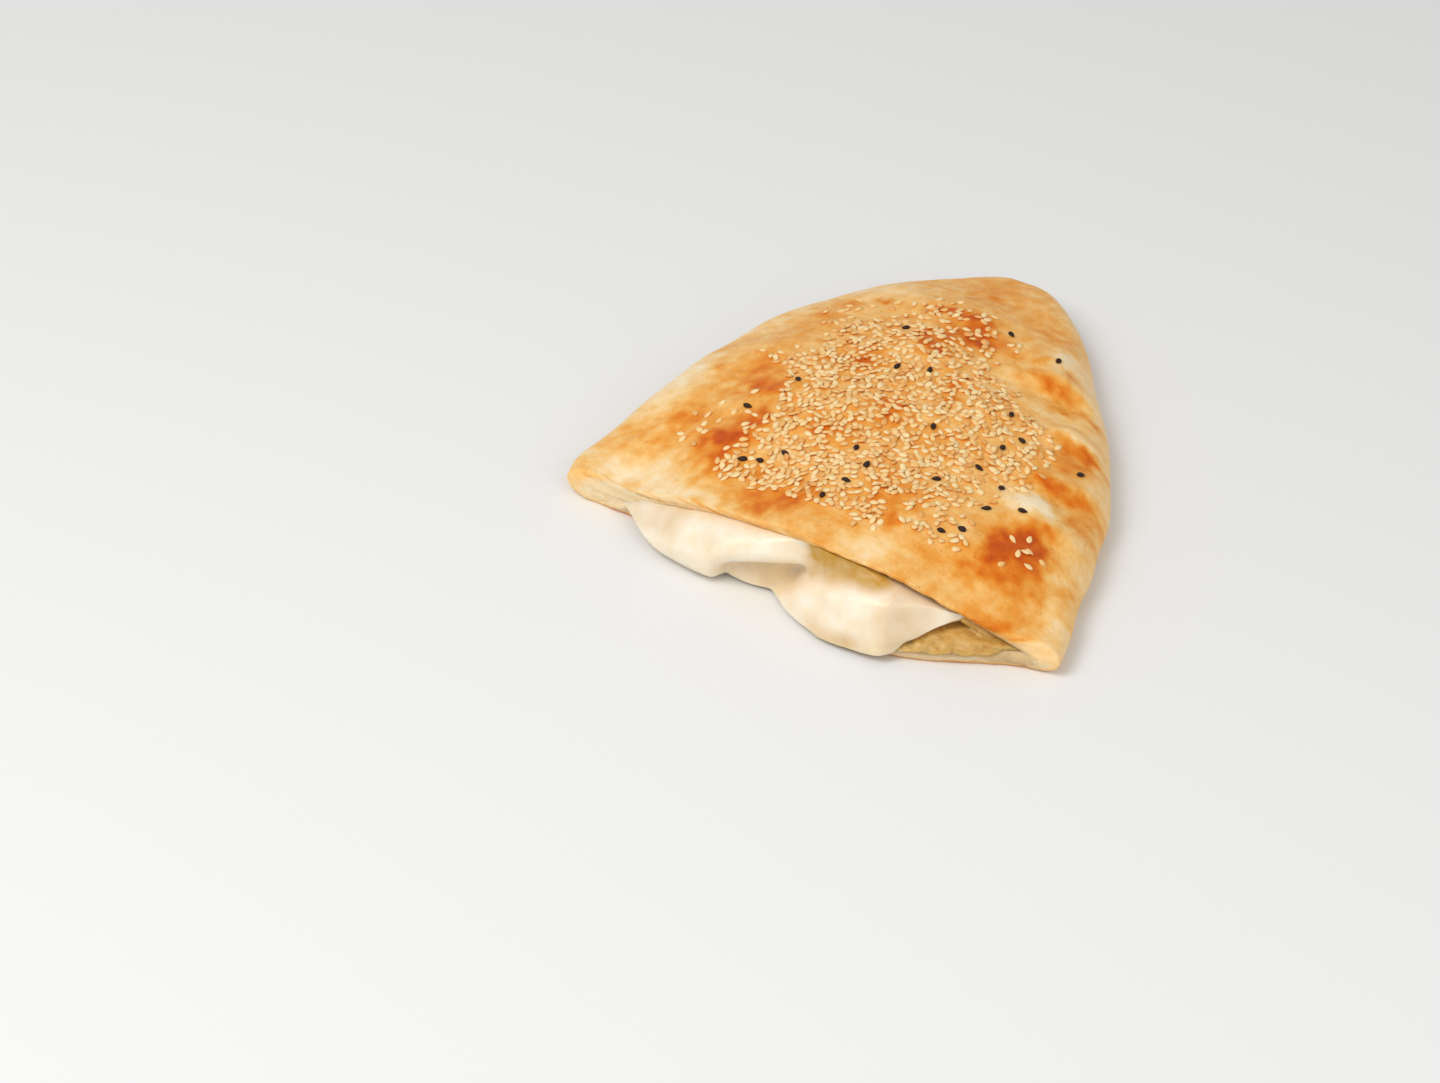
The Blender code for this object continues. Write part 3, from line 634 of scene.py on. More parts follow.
SESAME = (3, 2, 0.95)  # length, width, thickness
SESAME_MESH = (7, 8)  # rings along it, corners round it
DROP_TAPER = (1.12, 0.5)
SPREAD_SESAME = 130  # these lie apart, and the rest between them
ALL_SESAME = 1300
SESAME_SPACING = 4.2
CLOSE_SPACING = 1.45
DARK_SPACING = 2.3  # no nearer to a dark seed
SEED_REACH = (-62, 66)
SEED_ASIDE = (0.84, -0.25)  # in half widths
SEED_BACK = 128
SEED_ENDS = (0, 24, SEED_BACK, 20)
FIELD_ENDS = (8, 6, 121, 8)
FIELD_FADE = 8
FIELD_WANDER = ((3, 14, 91),)
FIELD_THICKNESS = 0.9
FIELD_WAVES = ((0.3, 11, 92),)
# How the sesame lies: y on the plain crust, its left and right limits there, how thickly
SEED_FIELD = (
    (6, -33, 17, 0.4), (12, -34, 25, 1), (26, -34, 27, 1), (32, -35, 41, 0.9), (45, -36, 44, 0.9),
    (53, -41, 46, 0.9), (62, -44, 46, 0.9), (75, -44, 41, 0.85), (81, -45, 23, 0.6), (88, -45, 12, 0.5),
    (98, -40, 4, 0.4), (108, -35, 3, 0.32), (118, -29, -2, 0.25),
)
# Where a few more lie: x, y, reach along x and y, how thickly
SEED_STRAYS = (
    (34, 20, 12, 9, 0.3), (40, 16, 6, 5, 0.5), (59, 26, 7, 10, 0.08), (-42, 28, 12, 10, 0.05),
    (-40, 43, 5, 5, 0.07), (-48, 62, 7, 4, 0.12), (-46, 98, 6, 14, 0.08), (6, 102, 4, 8, 0.12),
    (14, 84, 8, 5, 0.2),
)
# The dark seeds, which the sesame keeps clear of: x, y
NIGELLA_PLACES = (
    (-24, 96), (1, 114), (20, 108), (-13, 73), (-4, 76), (-33, 52), (-39, 35), (12, 51), (25, 72),
    (33, 64), (31, 57), (0, 30), (7, 24), (-17, 20), (-22, 15), (-27, 14), (6, 15), (4, 6),
    (25, 31), (31, 44), (40, 41), (51, 66), (42, 29), (50, 35), (38, 12), (42, 16),
)

# How each seed lies: tilts in radians, sinking and rising in shares of its thickness
SEED_TILTS = np.array([0.13, 0.18])  # nod and roll
SEED_SINK = 0.28
LEANING = (1.9, -0.4)  # a seed this near to another leans on it
LEANING_TILT = 0.15
LEANING_RISE = 0.4
SEED_GROWTH = (0.86, 1.1)
ABOVE_ALL = 0.1  # in metres, over the bread

SESAME_SHADES = (
    (0, (254, 224, 168)), (0.5, (251, 208, 142)), (0.85, (244, 190, 114)), (1, (230, 166, 88)),
)
TOASTED_POINT = (206, 138, 66)


def seed_share(x, y):
    """How likely a seed that lies apart is there: not at the rim, the cut and the corner."""
    return climb(abs(x - axis_x(y)) / half_width(y), *SEED_ASIDE) * band(y, *SEED_ENDS)


def close_share(x, y):
    """How likely a seed lies there between the others: thick in the field, thin at the strays.

    Both are known by depth on the plain crust, which the bow brings to y.
    """
    depth = y
    for _ in range(4):
        depth = y + float(upper_bow(x)) * math.exp(-depth / BOW_REACH)
    depths, lefts, rights, thick = np.array(SEED_FIELD, float).T
    wander = uneven(x, depth, FIELD_WANDER)
    left = np.interp(depth, depths, lefts) + wander
    right = np.interp(depth, depths, rights) + wander
    field = band(x, left, FIELD_FADE, right, FIELD_FADE) * band(depth, *FIELD_ENDS)
    field = field * uneven(x, depth, FIELD_WAVES, FIELD_THICKNESS)
    strays = max(
        climb(abs(x - sx) / rx, 1, -0.5, much) * climb(abs(depth - sy) / ry, 1, -0.5)
        for sx, sy, rx, ry, much in SEED_STRAYS
    )
    return max(field * np.interp(depth, depths, thick), strays)


def seed_places():
    """Where seeds lie, their turn and how far they are from another: dark ones, then sesame."""
    draw = np.random.default_rng(7)
    dark = len(NIGELLA_PLACES)
    places = [(x, y, draw.uniform(0, 2 * math.pi), SESAME_SPACING) for x, y in NIGELLA_PLACES]
    while len(places) < dark + ALL_SESAME:
        x, y, chance = draw.uniform((SEED_REACH[0], 0, 0), (SEED_REACH[1], SEED_BACK, 1))
        close = len(places) >= dark + SPREAD_SESAME
        if chance > (close_share(x, y) if close else seed_share(x, y)):
            continue
        taken = np.array(places)
        gaps = np.hypot(taken[:, 0] - x, taken[:, 1] - y)
        if gaps.min() < (CLOSE_SPACING if close else SESAME_SPACING) or gaps[:dark].min() < DARK_SPACING:
            continue
        places.append((x, y, draw.uniform(0, 2 * math.pi), gaps.min()))
    # Those that lie apart are dropped where the field and its strays have none
    return places[:dark] + [place for place in places[dark:] if close_share(*place[:2]) > 0]


def seed_form(length, width, thickness, along, around):
    """A drop along x: half width sin(pi u)^0.65 thinned towards the point, with a pole at each end."""
    u = np.linspace(0, 1, along + 2)[1:-1][:, None]
    turn = np.arange(around)[None, :] * 2 * np.pi / around
    start, loss = DROP_TAPER
    full = np.sin(np.pi * u) ** 0.65 * (start - loss * u)
    x = length * (u - 0.5)
    body = points_of(x, full * width / 2 * np.cos(turn), full * thickness / 2 * np.sin(turn))
    return closed_body(body, (-length / 2, 0, 0), (length / 2, 0, 0))


def strewn(name, places, size, mesh, seed):
    """All seeds of a kind as one mesh: each turned, laid on the crust, tilted and sunk."""
    draw = np.random.default_rng(seed)
    form, form_faces = seed_form(*size, *mesh)
    centres, turns = [], []
    for x, y, turn, nearest in places:
        above = Vector(((x - ORIGIN[0]) * MM, (y - ORIGIN[1]) * MM, ABOVE_ALL))
        _, spot, normal, _ = crust.ray_cast(above, Vector((0, 0, -1)))
        lying = Vector((0, 0, 1)).rotation_difference(normal).to_matrix()
        leaning = climb(nearest, *LEANING)
        nod, roll = draw.normal(0, SEED_TILTS + LEANING_TILT * leaning)
        tilt = Matrix.Rotation(nod, 3, "Y") @ Matrix.Rotation(roll, 3, "X")
        turns.append(np.array(lying @ Matrix.Rotation(turn, 3, "Z") @ tilt))
        raised = (0.5 - SEED_SINK + LEANING_RISE * leaning) * size[2]
        centres.append(np.array([x, y, spot.z / MM]) + np.array(normal) * raised)
    count = len(places)
    grown = draw.uniform(*SEED_GROWTH, (count, 1, 3))
    points = np.einsum("nij,nkj->nki", np.array(turns), form[None] * grown) + np.array(centres)[:, None]
    first = np.arange(count)[:, None, None] * len(form)
    faces = [(group[None] + first).reshape(-1, group.shape[1]) for group in form_faces]
    piece = make_piece(name, points.reshape(-1, 3), faces)
    give(piece, "tone", np.repeat(draw.uniform(0, 1, count), len(form)))
    give(piece, "along", np.tile(form[:, 0] / size[0] + 0.5, count))
    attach(piece, "root")
    return piece


def toasted_sesame():
    """Cream seed, toasted darker at its point, each a shade of its own, with a soft gloss."""
    material, shader, add, link = new_material("toasted_sesame", roughness=0.45)
    body = ramp(add, painted(add, "tone"), SESAME_SHADES)
    point = maths(add, "POWER", painted(add, "along"), 5.0)
    link(blend(add, point, 0.6, body, colour(*TOASTED_POINT)), shader.inputs["Base Color"])
    roughen(add, shader, noise(add, cells=2200), strength=0.25, distance=0.0002)
    let_light_in(shader, weight=0.25, radius=(0.0012, 0.0008, 0.0005))
    return material


seeds = seed_places()
sesame = strewn("sesame_seeds", seeds[len(NIGELLA_PLACES) :], SESAME, SESAME_MESH, 61)
sesame.data.materials.append(toasted_sesame())

# Nigella: small black seeds strewn with the sesame before the bread was baked, and sunk into the crust
# like it. Plump drops, nearly 3 mm long, with a dull and finely wrinkled skin.

NIGELLA = (2.9, 1.9, 1.5)  # length, width, thickness
NIGELLA_MESH = (8, 9)
NIGELLA_SHADES = ((0.3, (22, 12, 8)), (0.7, (64, 36, 24)))


def black_nigella():
    """Near black skin with a brown cast, dull and finely wrinkled."""
    material, shader, add, link = new_material("black_nigella", roughness=0.55, specular=0.3)
    skin = noise(add, cells=1800)
    link(ramp(add, skin, NIGELLA_SHADES), shader.inputs["Base Color"])
    roughen(add, shader, skin, strength=0.5, distance=0.0003)
    return material


nigella = strewn("nigella_seeds", seeds[: len(NIGELLA_PLACES)], NIGELLA, NIGELLA_MESH, 62)
nigella.data.materials.append(black_nigella())

# White cheese: a soft melting cheese that filled the middle of the pocket as a slab. It ran out as the
# bread was cut: a roll hangs under the upper lip at left, and a tongue falls over the lower lip at right,
# with a thin web between them.

SLAB_ENDS = (-51, 59)
SLAB_DEPTH = 112
SLAB_ROOF = 1.7  # of yellow cheese over it
SLAB_FLOOR = 1.2  # and under it
SLAB_NARROWING = (5, 12)  # how far in its sides go, and how soon
BED = BOTTOM_CRUST + 2 * GAP + SLAB_FLOOR
THIN_CHEESE = 0.6

# Its face between the lips
FACE_BACK = 1.2  # behind the line between the lips
FACE_RISE = 1.3  # into the undercut of the upper lip
LEFT_DIP = 0.6
LEFT_DIP_PART = (-27, -19)
MIDDLE_DIP = (23, 10, 1)
FACE_WAVES = ((0.3, 17, 3),)
FORM_SOFTNESS = 1
TAIL_BACK = (50, 8, 3.5)
TAIL_PART = (45, 12)

# The roll. A pair of powers is for the left and the right of its middle.
ROLL = (-18, 40, 31)
ROLL_FRONT = 17
ROLL_POWERS = (0.9, 0.45)
ROLL_FOOT = -3
ROLL_FOOT_RISE = 16.4
ROLL_FOOT_PART = (-17.5, 31)
ROLL_FULLNESS = 0.4
THINNER_RIGHT = (1, 11, 0.4)
THINNER_LEFT = (-32, -14, 0.9)  # above its middle
ROLL_SINK = 6  # behind the rest at its ends
ROLL_SINK_SPAN = 0.06

WEB = (-12, 14, 19)
WEB_FRONT = 10.6

# The tongue: x, how far it stands forward, crest height
TONGUE = (
    (-5, 7.5, 1), (0, 12.3, 2.5), (6, 16.2, 7), (12, 18.8, 10.2), (20, 21.6, 13.6), (27, 22.3, 15.6),
    (33, 22, 16.2), (39, 21.4, 16.6), (45, 15.2, 15.6), (52, 8.6, 13.5), (58, 0.5, 11.5),
)
TONGUE_LEAN = 5
LEAN_SHARE = 0.8  # of the crest's height at most
CREST_FALL = (1.5, 2)  # how steep it is behind the crest, and how sharp
FOOT_TUCK = (0.25, 2)  # how much it draws in below this height

# Its foot, and how its mouth steps round both lips
HANG_FLOOR = 0.7
HANG_TEST = 3  # it hangs where it is clear of the lip here and at its foot
HANG_CLEAR = (1, 2)
HANG_START = (-52, 4)
REST_DROP = (-2.5, 2.5, 1.5)
REST_START = (30, 10)
CRUMB_LAP = 8  # how far its left end laps over the crumb
LAP_PART = (-40, -11)
LEDGE = 0.3
NOTCH_BACK = 2.2
NOTCH_ROOM = 0.7
UPPER_STEPS = (5.4, 4.2, 1.8)  # behind the upper lip
LOWER_STEPS = (1.2, 0, -0.3)  # behind the notch over the lower lip

CHEESE_COLUMNS = 220
CHEESE_RINGS = 22
FACE_ROWS = 90
MELT_ROUNDS = 10

# Yellow cheese that ran over the white, and painted shade in its colour on the web under the roll, low on
# the tongue and past its ridge
FILM_UNDER_LIP = 5.5  # it reaches this far below the ceiling
ROLL_FILM = (-26, -10, 0.28)
ROLL_FILM_HEIGHT = 3.5
LIP_FILM_BAND = (7, 5, 41, 8)
LIP_FILM = 0.8
MORE_LIP_FILM = (0, 3, 0.35)
CREST_CLEAR = (-0.3, 2.4)
# Painted shade on the web under the roll, in the yellow cheese's colour
WEB_SHADE = (-4, 7, 12, 5, 0.7)  # x, z, reach along x and z, how much
WEB_SHADE_BACK = (-15, 4)
# Partly yellow cheese and partly painted shade: low on the tongue, and on its face past the ridge
FOOT_FILM_AND_SHADE = (27, 15, 0.55)
FOOT_FILM_AND_SHADE_TOP = (8, -5)
RIDGE_FILM_AND_SHADE_BAND = (34, 5, 52, 6)
RIDGE_FILM_AND_SHADE = 0.34
FILM_AND_SHADE_EVEN = 0.85
FILM_AND_SHADE_WAVES = ((0.12, 9, 71),)

WHITE_SHADES = ((0.3, (245, 225, 191)), (0.5, (250, 233, 207)), (0.7, (253, 240, 220)))
FILM_AND_SHADE_COLOUR = (198, 150, 40)


def pocket_height(x, y, side):
    """Height of the pocket's ceiling, side 0, or floor, side 1, at x on the ring of depth y."""
    points = pocket_sheets([y], GAP, 160, 160)[side][0]
    return np.interp(x, points[:, 0], points[:, 2])


def roll_foot(x):
    """Height of the roll's lower edge, which rises to the right as u^0.3."""
    return ROLL_FOOT + ROLL_FOOT_RISE * part(x, *ROLL_FOOT_PART) ** 0.3


def face_top(x):
    """Height of the white cheese at the upper lip: above the ceiling, less two dips."""
    left, middle = LEFT_DIP * part(x, *LEFT_DIP_PART), hill(x, *MIDDLE_DIP)
    return pocket_height(x, 0.0, 0) + FACE_RISE - left - middle


def soft_most(forms, softness):
    """The foremost of several forms, their creases rounded: a log of summed powers of e."""
    forms = np.stack(np.broadcast_arrays(*forms))
    most = forms.max(axis=0)
    return most + softness * (np.log(np.exp((forms - most) / softness).sum(axis=0)))


def roll_front(x, z, plain):
    """How far the roll stands forward: an arch along x times 1 - v^2 up its height, each to a power."""
    foot, top = roll_foot(x), face_top(x)
    v = (2 * z - foot - top) / np.maximum(top - foot, 1)
    span = arch(x, *ROLL)
    reach = ROLL_FRONT * span ** np.where(x < ROLL[0], *ROLL_POWERS)
    power = ROLL_FULLNESS + climb(x, *THINNER_RIGHT) + climb(x, *THINNER_LEFT) * (v > 0)
    sunk = ROLL_SINK * (1 - climb(span, 0, ROLL_SINK_SPAN))
    return plain + (reach - plain) * np.clip(1 - v * v, 0, 1) ** power - sunk


def tongue_front(x, z):
    """How far the tongue stands forward: its reach less three forms.

    It leans back up to its crest as u^1.3, falls away behind it as the log of 1 + e^(2 t), and its foot
    draws in as a square.
    """
    xs, reaches, crests = np.array(TONGUE).T
    reach, crest = np.interp(x, xs, reaches), np.interp(x, xs, crests)
    lean = np.minimum(TONGUE_LEAN, LEAN_SHARE * crest) * part(z, 0, crest) ** 1.3
    fall, sharpness = CREST_FALL
    tuck, below = FOOT_TUCK
    behind_crest = fall * np.logaddexp(0, sharpness * (z - crest))
    return reach - lean - behind_crest - tuck * np.clip(below - z, 0, below) ** 2


def front(x, z):
    """How far the white cheese stands forward at height z: a face, the roll, the web and the tongue."""
    share = part(z, BOTTOM_CRUST, np.maximum(pocket_height(x, 0.0, 0) - BOTTOM_CRUST, 1))
    plain = lower_bow(x) + (upper_bow(x) - lower_bow(x)) * share - FACE_BACK - climb(x, *TAIL_BACK)
    web = WEB_FRONT * arch(x, *WEB) ** 0.5
    forms = [plain, web, roll_front(x, z, plain), tongue_front(x, z)]
    return soft_most(forms, FORM_SOFTNESS) + uneven(x, 2 * z, FACE_WAVES)


def tail_rise(x):
    """How far the white cheese's foot has risen at right, 0 to 1: as u^1.2."""
    return part(x, *TAIL_PART) ** 1.2


def face_foot(x):
    """Height of the white cheese's foot: it hangs where it is clear of the lip, and rises at right."""
    clear = np.minimum(front(x, HANG_FLOOR), front(x, HANG_TEST)) - lower_bow(x)
    hanging = climb(clear, *HANG_CLEAR) * climb(x, *HANG_START)
    resting = climb(clear, *REST_DROP) * climb(x, *REST_START)
    tail = (face_top(x) - THIN_CHEESE - BED) * tail_rise(x)
    return BED + tail - resting * (1 - hanging) - (BED - HANG_FLOOR) * hanging


def slab_rings(depths, columns):
    """The white cheese inside the pocket at the given depths: a lens under the yellow cheese.

    It closes at its end as the root of 1 - (y / depth)^6.
    """
    xi = spread(columns)
    mouth = pocket_sheets([0.0], 0.0, 2, 2)[0][0]
    narrowing, soon = SLAB_NARROWING
    overs, unders = [], []
    for y in depths:
        inner = pocket_sheets([y], 0.0, 2, 2)[0][0]
        aside = narrowing * (1 - math.exp(-y / soon))
        low = inner[0, 0] - mouth[0, 0] + SLAB_ENDS[0] + aside
        high = inner[-1, 0] - mouth[-1, 0] + SLAB_ENDS[1] - aside
        x = (low + high) / 2 + (high - low) / 2 * xi
        top = pocket_height(x, y, 0) - GAP - SLAB_ROOF
        foot = np.minimum(np.maximum(BED, pocket_height(x, y, 1) + 2 * GAP), top - THIN_CHEESE)
        level = (top + foot) / 2
        half = (top - foot) / 2 * math.sqrt(1 - (y / SLAB_DEPTH) ** 6) * lens(xi)
        overs.append(points_of(x, bowed(x, y, upper_bow), level + half))
        unders.append(points_of(x, bowed(x, y, lower_bow), level - half))
    return closed_rings(np.array(overs), np.array(unders))


def white_mouth():
    """The rings where the white cheese leaves the pocket and steps round the lips, and its face.

    Each ring is a lens, blunt at left on the face, which is rows from the upper edge to the foot.
    """
    xi = spread(CHEESE_COLUMNS)
    x = np.interp(xi, (-1, 1), SLAB_ENDS)
    top, foot, bow = face_top(x), face_foot(x), upper_bow(x)
    roof = pocket_height(x, 0.0, 0) - GAP - SLAB_ROOF
    bed = np.minimum(np.maximum(BED, pocket_height(x, 0.0, 1) + GAP), roof - THIN_CHEESE)
    bed = bed + (roof - THIN_CHEESE - bed) * tail_rise(x)
    inner, outer = (roof + bed) / 2, (top + foot) / 2
    outer = outer + (inner - outer) * np.abs(xi) ** 6
    blunt = np.where(xi < 0, np.clip(1 - xi**24, 0, 1) ** 0.5, lens(xi))
    high = outer + (top - outer) * blunt
    low = outer - (outer - foot) * lens(xi)
    bed = inner - (inner - bed) * lens(xi)
    ledge = inner + (np.maximum(top, inner + LEDGE) - inner) * lens(xi)
    roof = inner + (roof - inner) * lens(xi)
    face_x = x - CRUMB_LAP * part(x, *LAP_PART) ** 2
    notch = np.minimum(lower_bow(x) + NOTCH_BACK, front(face_x, low) - NOTCH_ROOM)
    over = zip((x, x, face_x), UPPER_STEPS, (roof, ledge, high))
    under = zip((x, x, face_x), LOWER_STEPS, (bed, bed, low))
    overs = [points_of(at, y - bow, z) for at, y, z in over]
    unders = [points_of(at, y - notch, z) for at, y, z in under]
    share = np.arange(FACE_ROWS + 1)[:, None] / FACE_ROWS
    z = high + (low - high) * share
    return closed_rings(np.array(overs), np.array(unders)), points_of(face_x, -front(face_x, z), z)


def capped(rings, face):
    """Points and faces of a body: a pole, rings, and a face of rows across the last of them."""
    across = face.shape[1] - 1
    count = 2 * across
    rings = np.concatenate([rings, closed_rings(face[:1], face[-1:])])
    inner = face[1:-1, 1:-1]
    points = np.concatenate([rings.reshape(-1, 3), inner.reshape(-1, 3), rings[0].mean(axis=0)[None]])
    start = (len(rings) - 1) * count
    upper_edge = start + np.arange(1, across)[None]
    lower_edge = start + count - np.arange(1, across)[None]
    rows = start + count + np.arange(inner.shape[0] * (across - 1)).reshape(inner.shape[0], -1)
    grid = np.concatenate([upper_edge, rows, lower_edge])
    quads = np.stack([grid[:-1, :-1], grid[:-1, 1:], grid[1:, 1:], grid[1:, :-1]], axis=-1).reshape(-1, 4)
    left = np.stack([np.full(len(grid) - 1, start), grid[:-1, 0], grid[1:, 0]], axis=1)
    right = np.stack([grid[:-1, -1], np.full(len(grid) - 1, start + across), grid[1:, -1]], axis=1)
    tube = ring_faces(len(rings), count)
    pole = fan_faces(np.arange(count), len(points) - 1)
    return points, [tube, pole, quads, left, right]


# Depths from the slab's end to its mouth, closer together at the end: a cosine of even steps
slab_turns = math.pi / 2 * (np.arange(CHEESE_RINGS) + 0.5) / (CHEESE_RINGS + 0.3)
slab_depths = SLAB_DEPTH * np.cos(slab_turns)
mouth_rings, white_face = white_mouth()
slab = slab_rings(slab_depths.tolist(), CHEESE_COLUMNS)
white_points, white_faces = capped(np.concatenate([slab, mouth_rings]), white_face)
white = make_piece("white_cheese_melt", white_points, white_faces)
softened = white.modifiers.new("melted edges", "SMOOTH")
softened.factor = 0.5
softened.iterations = MELT_ROUNDS


def yellow_film_and_shade(points):
    """Where yellow cheese ran over the white, and shade painted in its colour: the most of five patches
    of smooth steps and hills.
    """
    x, y, z = points.T
    high = z - pocket_height(x, 0.0, 0) + FILM_UNDER_LIP
    over_roll = climb(x, *ROLL_FILM) * climb(high, 0, ROLL_FILM_HEIGHT)
    crest = np.interp(x, np.array(TONGUE)[:, 0], np.array(TONGUE)[:, 2])
    under_lip = band(x, *LIP_FILM_BAND) * climb(z - crest, *CREST_CLEAR)
    under_lip = under_lip * (LIP_FILM + climb(high, *MORE_LIP_FILM))
    # Painted shade on the web under the roll
    shade_by_web = bumps(x, z, [WEB_SHADE]) * climb(y, *WEB_SHADE_BACK)
    # Partly a greenish band of yellow cheese, partly painted shade low on the tongue
    foot = hill(x, *FOOT_FILM_AND_SHADE) * climb(z, *FOOT_FILM_AND_SHADE_TOP)
    # Partly olive film, partly painted shade on the tongue's face past its ridge
    film_and_shade_past_ridge = RIDGE_FILM_AND_SHADE * band(x, *RIDGE_FILM_AND_SHADE_BAND)
    film_and_shade = np.maximum.reduce([over_roll, under_lip, shade_by_web, foot, film_and_shade_past_ridge])
    return np.clip(film_and_shade * uneven(x, z, FILM_AND_SHADE_WAVES, FILM_AND_SHADE_EVEN), 0, 1)


give(white, "film_and_shade", yellow_film_and_shade(white_points))
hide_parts("white_cheese")
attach(white, "root")


def melted_white():
    """Smooth moist cream-white, faintly streaked, tinted where yellow cheese has run over it, and with
    painted shade in the same tint on the web and on the tongue's foot and right-hand face.
    """
    material, shader, add, link = new_material("melted_white", roughness=0.33)
    streaks = noise(add, cells=160, rough=0.5)
    body = ramp(add, streaks, WHITE_SHADES)
    patchy = maths(add, "MULTIPLY_ADD", noise(add, cells=300, rough=0.6, seed=4.0), 0.7, 0.65)
    # The tint is yellow cheese in places and painted shade in others
    filmed_and_shaded = blend(add, painted(add, "film_and_shade"), patchy, body, colour(*FILM_AND_SHADE_COLOUR))
    link(filmed_and_shaded, shader.inputs["Base Color"])
    let_light_in(shader, weight=0.45, radius=(0.0032, 0.0025, 0.0016))
    height = maths(add, "MULTIPLY_ADD", noise(add, cells=900), 0.2, streaks)
    roughen(add, shader, height, strength=0.25, distance=0.0008)
    return material


white.data.materials.append(melted_white())

# Yellow cheese: it melted round the white slab and fills the rest of the pocket, so it is an envelope
# inside the dough. At the cut it shows as a thin porous layer, widest at the right under the white.

ROOM = 0.6  # between it and the white slab
ROOM_HALF = 53
YELLOW_SHORT = 5  # how far from the pocket's end it stops
CEILING_DEPTHS = (6, 5.8, 5.6)  # of its mouth's rings
FLOOR_DEPTHS = (1, 0, 0)
SPILT_BAND = (36, 5, 68.5, 5)  # where it spilt over the lower lip
OVERHANG = 1.9  # how far forward it spilt
SPILT_STEP = 0.8  # how far down it lies on the lip's edge
SPILT_DROP = 1.7  # and in front of it
SPILT_WAVES = ((0.25, 6, 83),)
FACE_START = 4  # how far forward of the slab's ring its face starts
LUMP_HEIGHT = 2.1
LUMPS = ((0.5, 7, 81), (0.15, 2.4, 82))
YELLOW_COLUMNS = 150
YELLOW_DEPTHS = 18
YELLOW_FACE_RINGS = 14
YELLOW_SHADES = ((0.32, (188, 138, 60)), (0.48, (206, 158, 80)), (0.66, (218, 176, 98)))


def yellow_surface():
    """Rings from the pocket's end to its mouth, over a lumpy front, and back in round the slab.

    The front stands forward of a line from the mouth to the slab by a sine.
    """
    n = YELLOW_COLUMNS
    outer_depths = ring_depths(POCKET_DEPTH - YELLOW_SHORT, YELLOW_DEPTHS)[::-1]
    outer = closed_rings(*pocket_sheets(outer_depths, GAP, n, n))
    overs = pocket_sheets(CEILING_DEPTHS, GAP, n, n)[0]
    unders = pocket_sheets(FLOOR_DEPTHS, GAP, n, n)[1]
    x = unders[0, :, 0]
    spilt = band(x, *SPILT_BAND)
    unders[1, :, 2] -= SPILT_STEP * spilt
    unders[2, :, 1] -= OVERHANG * spilt
    unders[2, :, 2] -= uneven(x, 0, SPILT_WAVES, SPILT_DROP) * spilt
    mouth = closed_rings(overs, unders)
    inner = slab_rings(slab_depths[::-1].tolist(), n)
    middle = inner.mean(axis=1, keepdims=True)
    away = inner - middle
    away[..., 2] *= 1 + ROOM / np.maximum(np.abs(away[..., 2]), 1.0)
    away[..., 0] += ROOM * np.sign(away[..., 0]) * np.abs(away[..., 0] / ROOM_HALF) ** 4
    inner = middle + away
    share = (np.arange(1, YELLOW_FACE_RINGS) / YELLOW_FACE_RINGS)[:, None, None]
    first = inner[0].copy()
    first[:, 1] -= FACE_START
    face = mouth[-1] + (first - mouth[-1]) * share
    face[..., 1] -= uneven(face[..., 0], face[..., 2], LUMPS, LUMP_HEIGHT) * np.sin(np.pi * share[..., 0])
    return np.concatenate([outer, mouth, face, first[None], inner])


yellow_rings = yellow_surface()
yellow_ends = yellow_rings[0].mean(axis=0), yellow_rings[-1].mean(axis=0)
yellow = make_piece("yellow_cheese_melt", *closed_body(yellow_rings, *yellow_ends))
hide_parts("yellow_cheese")
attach(yellow, "root")


def melted_yellow():
    """Pale yellow, porous and slightly oily, with its hollows painted dark olive as shade."""
    material, shader, add, link = new_material("melted_yellow", roughness=0.42)
    holes = noise(add, cells=420, detail=4.0, rough=0.65)
    # Painted shade: darker and more olive where the pores dent the surface
    link(ramp(add, holes, YELLOW_SHADES), shader.inputs["Base Color"])
    let_light_in(shader, weight=0.3, radius=(0.004, 0.003, 0.001))
    roughen(add, shader, holes, strength=0.25, distance=0.001)
    return material


yellow.data.materials.append(melted_yellow())

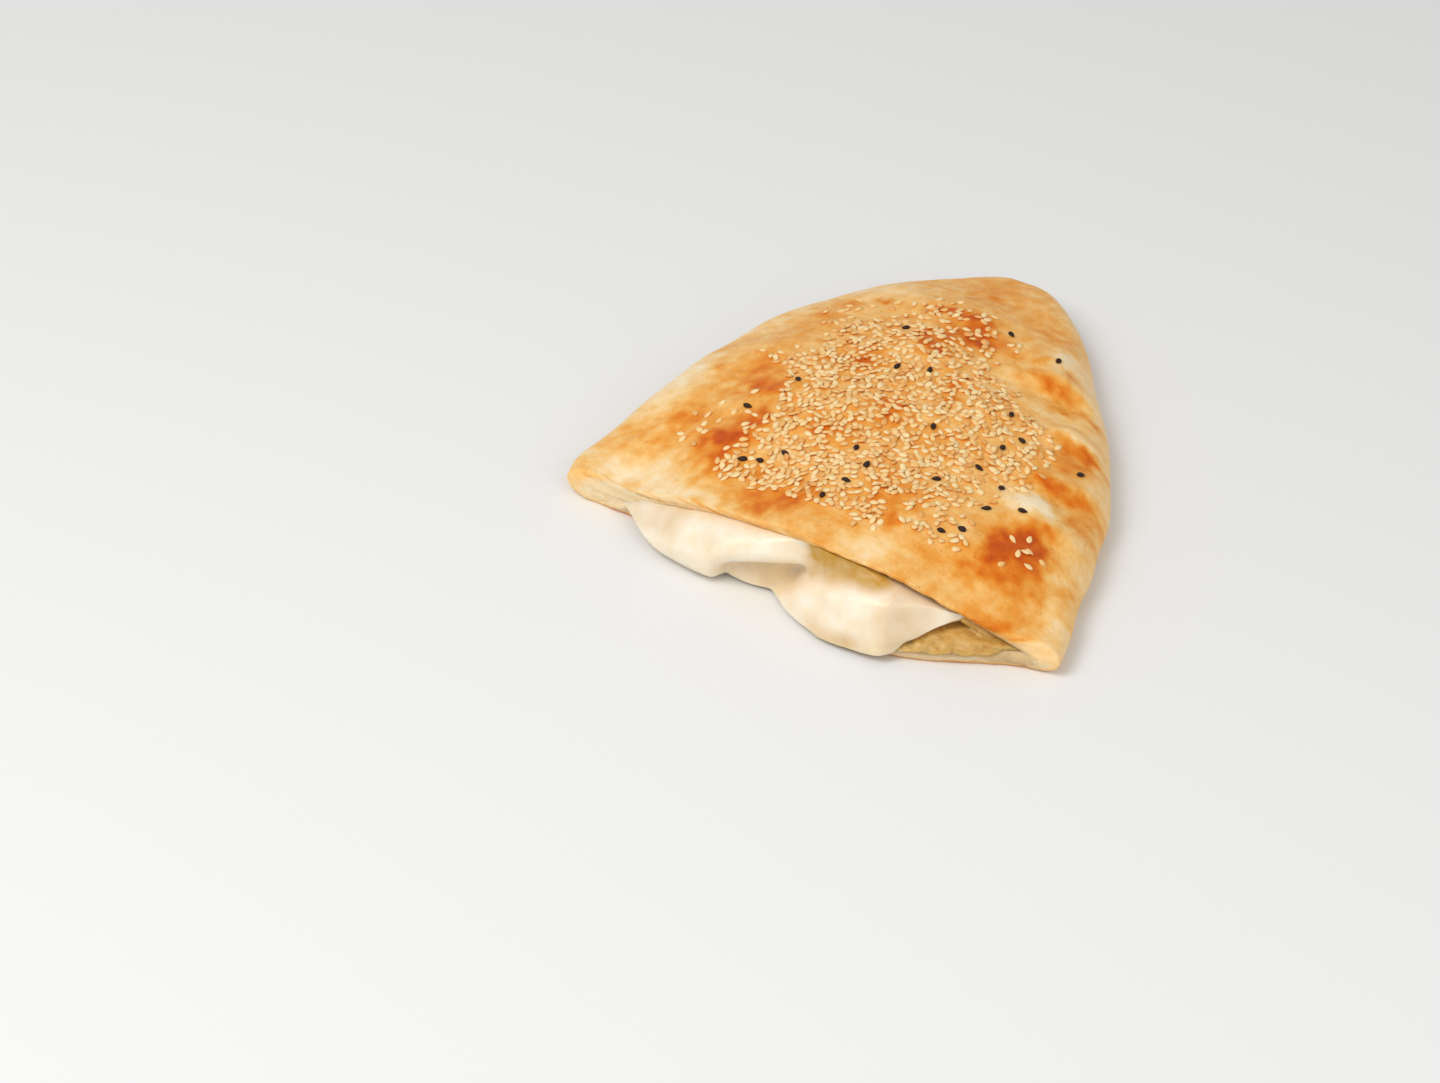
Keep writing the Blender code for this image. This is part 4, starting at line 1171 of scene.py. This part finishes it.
# The stage: a pale floor, soft light from a large lamp in front of the cut at left and a weaker one at
# right, and the camera, which looks down at 35 degrees from the right of the cut.

FLOOR_HALF = 3
FLOOR_DROP = 0.0002  # just under the bread
# Name, place, size and power
LAMPS = (
    ("key", (-0.3, -0.75, 1.0), 0.7, 7.9),
    ("fill", (0.95, -0.45, 0.7), 0.8, 2.8),
)
CAMERA_PLACE = (0.4678, -0.8172, 0.6309)
CAMERA_AIM = (-0.0288, -0.0653, 0)

scene = bpy.context.scene
sides = ((-1, -1), (1, -1), (1, 1), (-1, 1))
floor_corners = [(FLOOR_HALF * x, FLOOR_HALF * y, -FLOOR_DROP) for x, y in sides]
floor_mesh = bpy.data.meshes.new("floor")
floor_mesh.from_pydata(floor_corners, [], [(0, 1, 2, 3)])
floor = bpy.data.objects.new("floor", floor_mesh)
scene.collection.objects.link(floor)
floor_paint, floor_shader, *_ = new_material("pale_floor", roughness=0.7)
floor_shader.inputs["Base Color"].default_value = (0.86, 0.86, 0.85, 1)
floor_mesh.materials.append(floor_paint)

# Square lamps that point at the middle of the bread
for name, lamp_place, size, power in LAMPS:
    lamp_data = bpy.data.lights.new(name, "AREA")
    lamp_data.size = size
    lamp_data.energy = power
    lamp = bpy.data.objects.new(name, lamp_data)
    lamp.location = lamp_place
    lamp.rotation_euler = (-Vector(lamp_place)).to_track_quat("-Z", "Y").to_euler()
    scene.collection.objects.link(lamp)

world = bpy.data.worlds.new("studio")
world.use_nodes = True
background = world.node_tree.nodes["Background"]
background.inputs["Color"].default_value = (1, 1, 1, 1)
background.inputs["Strength"].default_value = 0.52
scene.world = world
scene.view_settings.view_transform = "Standard"

camera_data = bpy.data.cameras.new("camera")
camera_data.lens = 99
camera_data.clip_start = 0.01
camera = bpy.data.objects.new("camera", camera_data)
camera.location = CAMERA_PLACE
camera.rotation_euler = (Vector(CAMERA_AIM) - Vector(CAMERA_PLACE)).to_track_quat("-Z", "Y").to_euler()
scene.collection.objects.link(camera)
scene.camera = camera
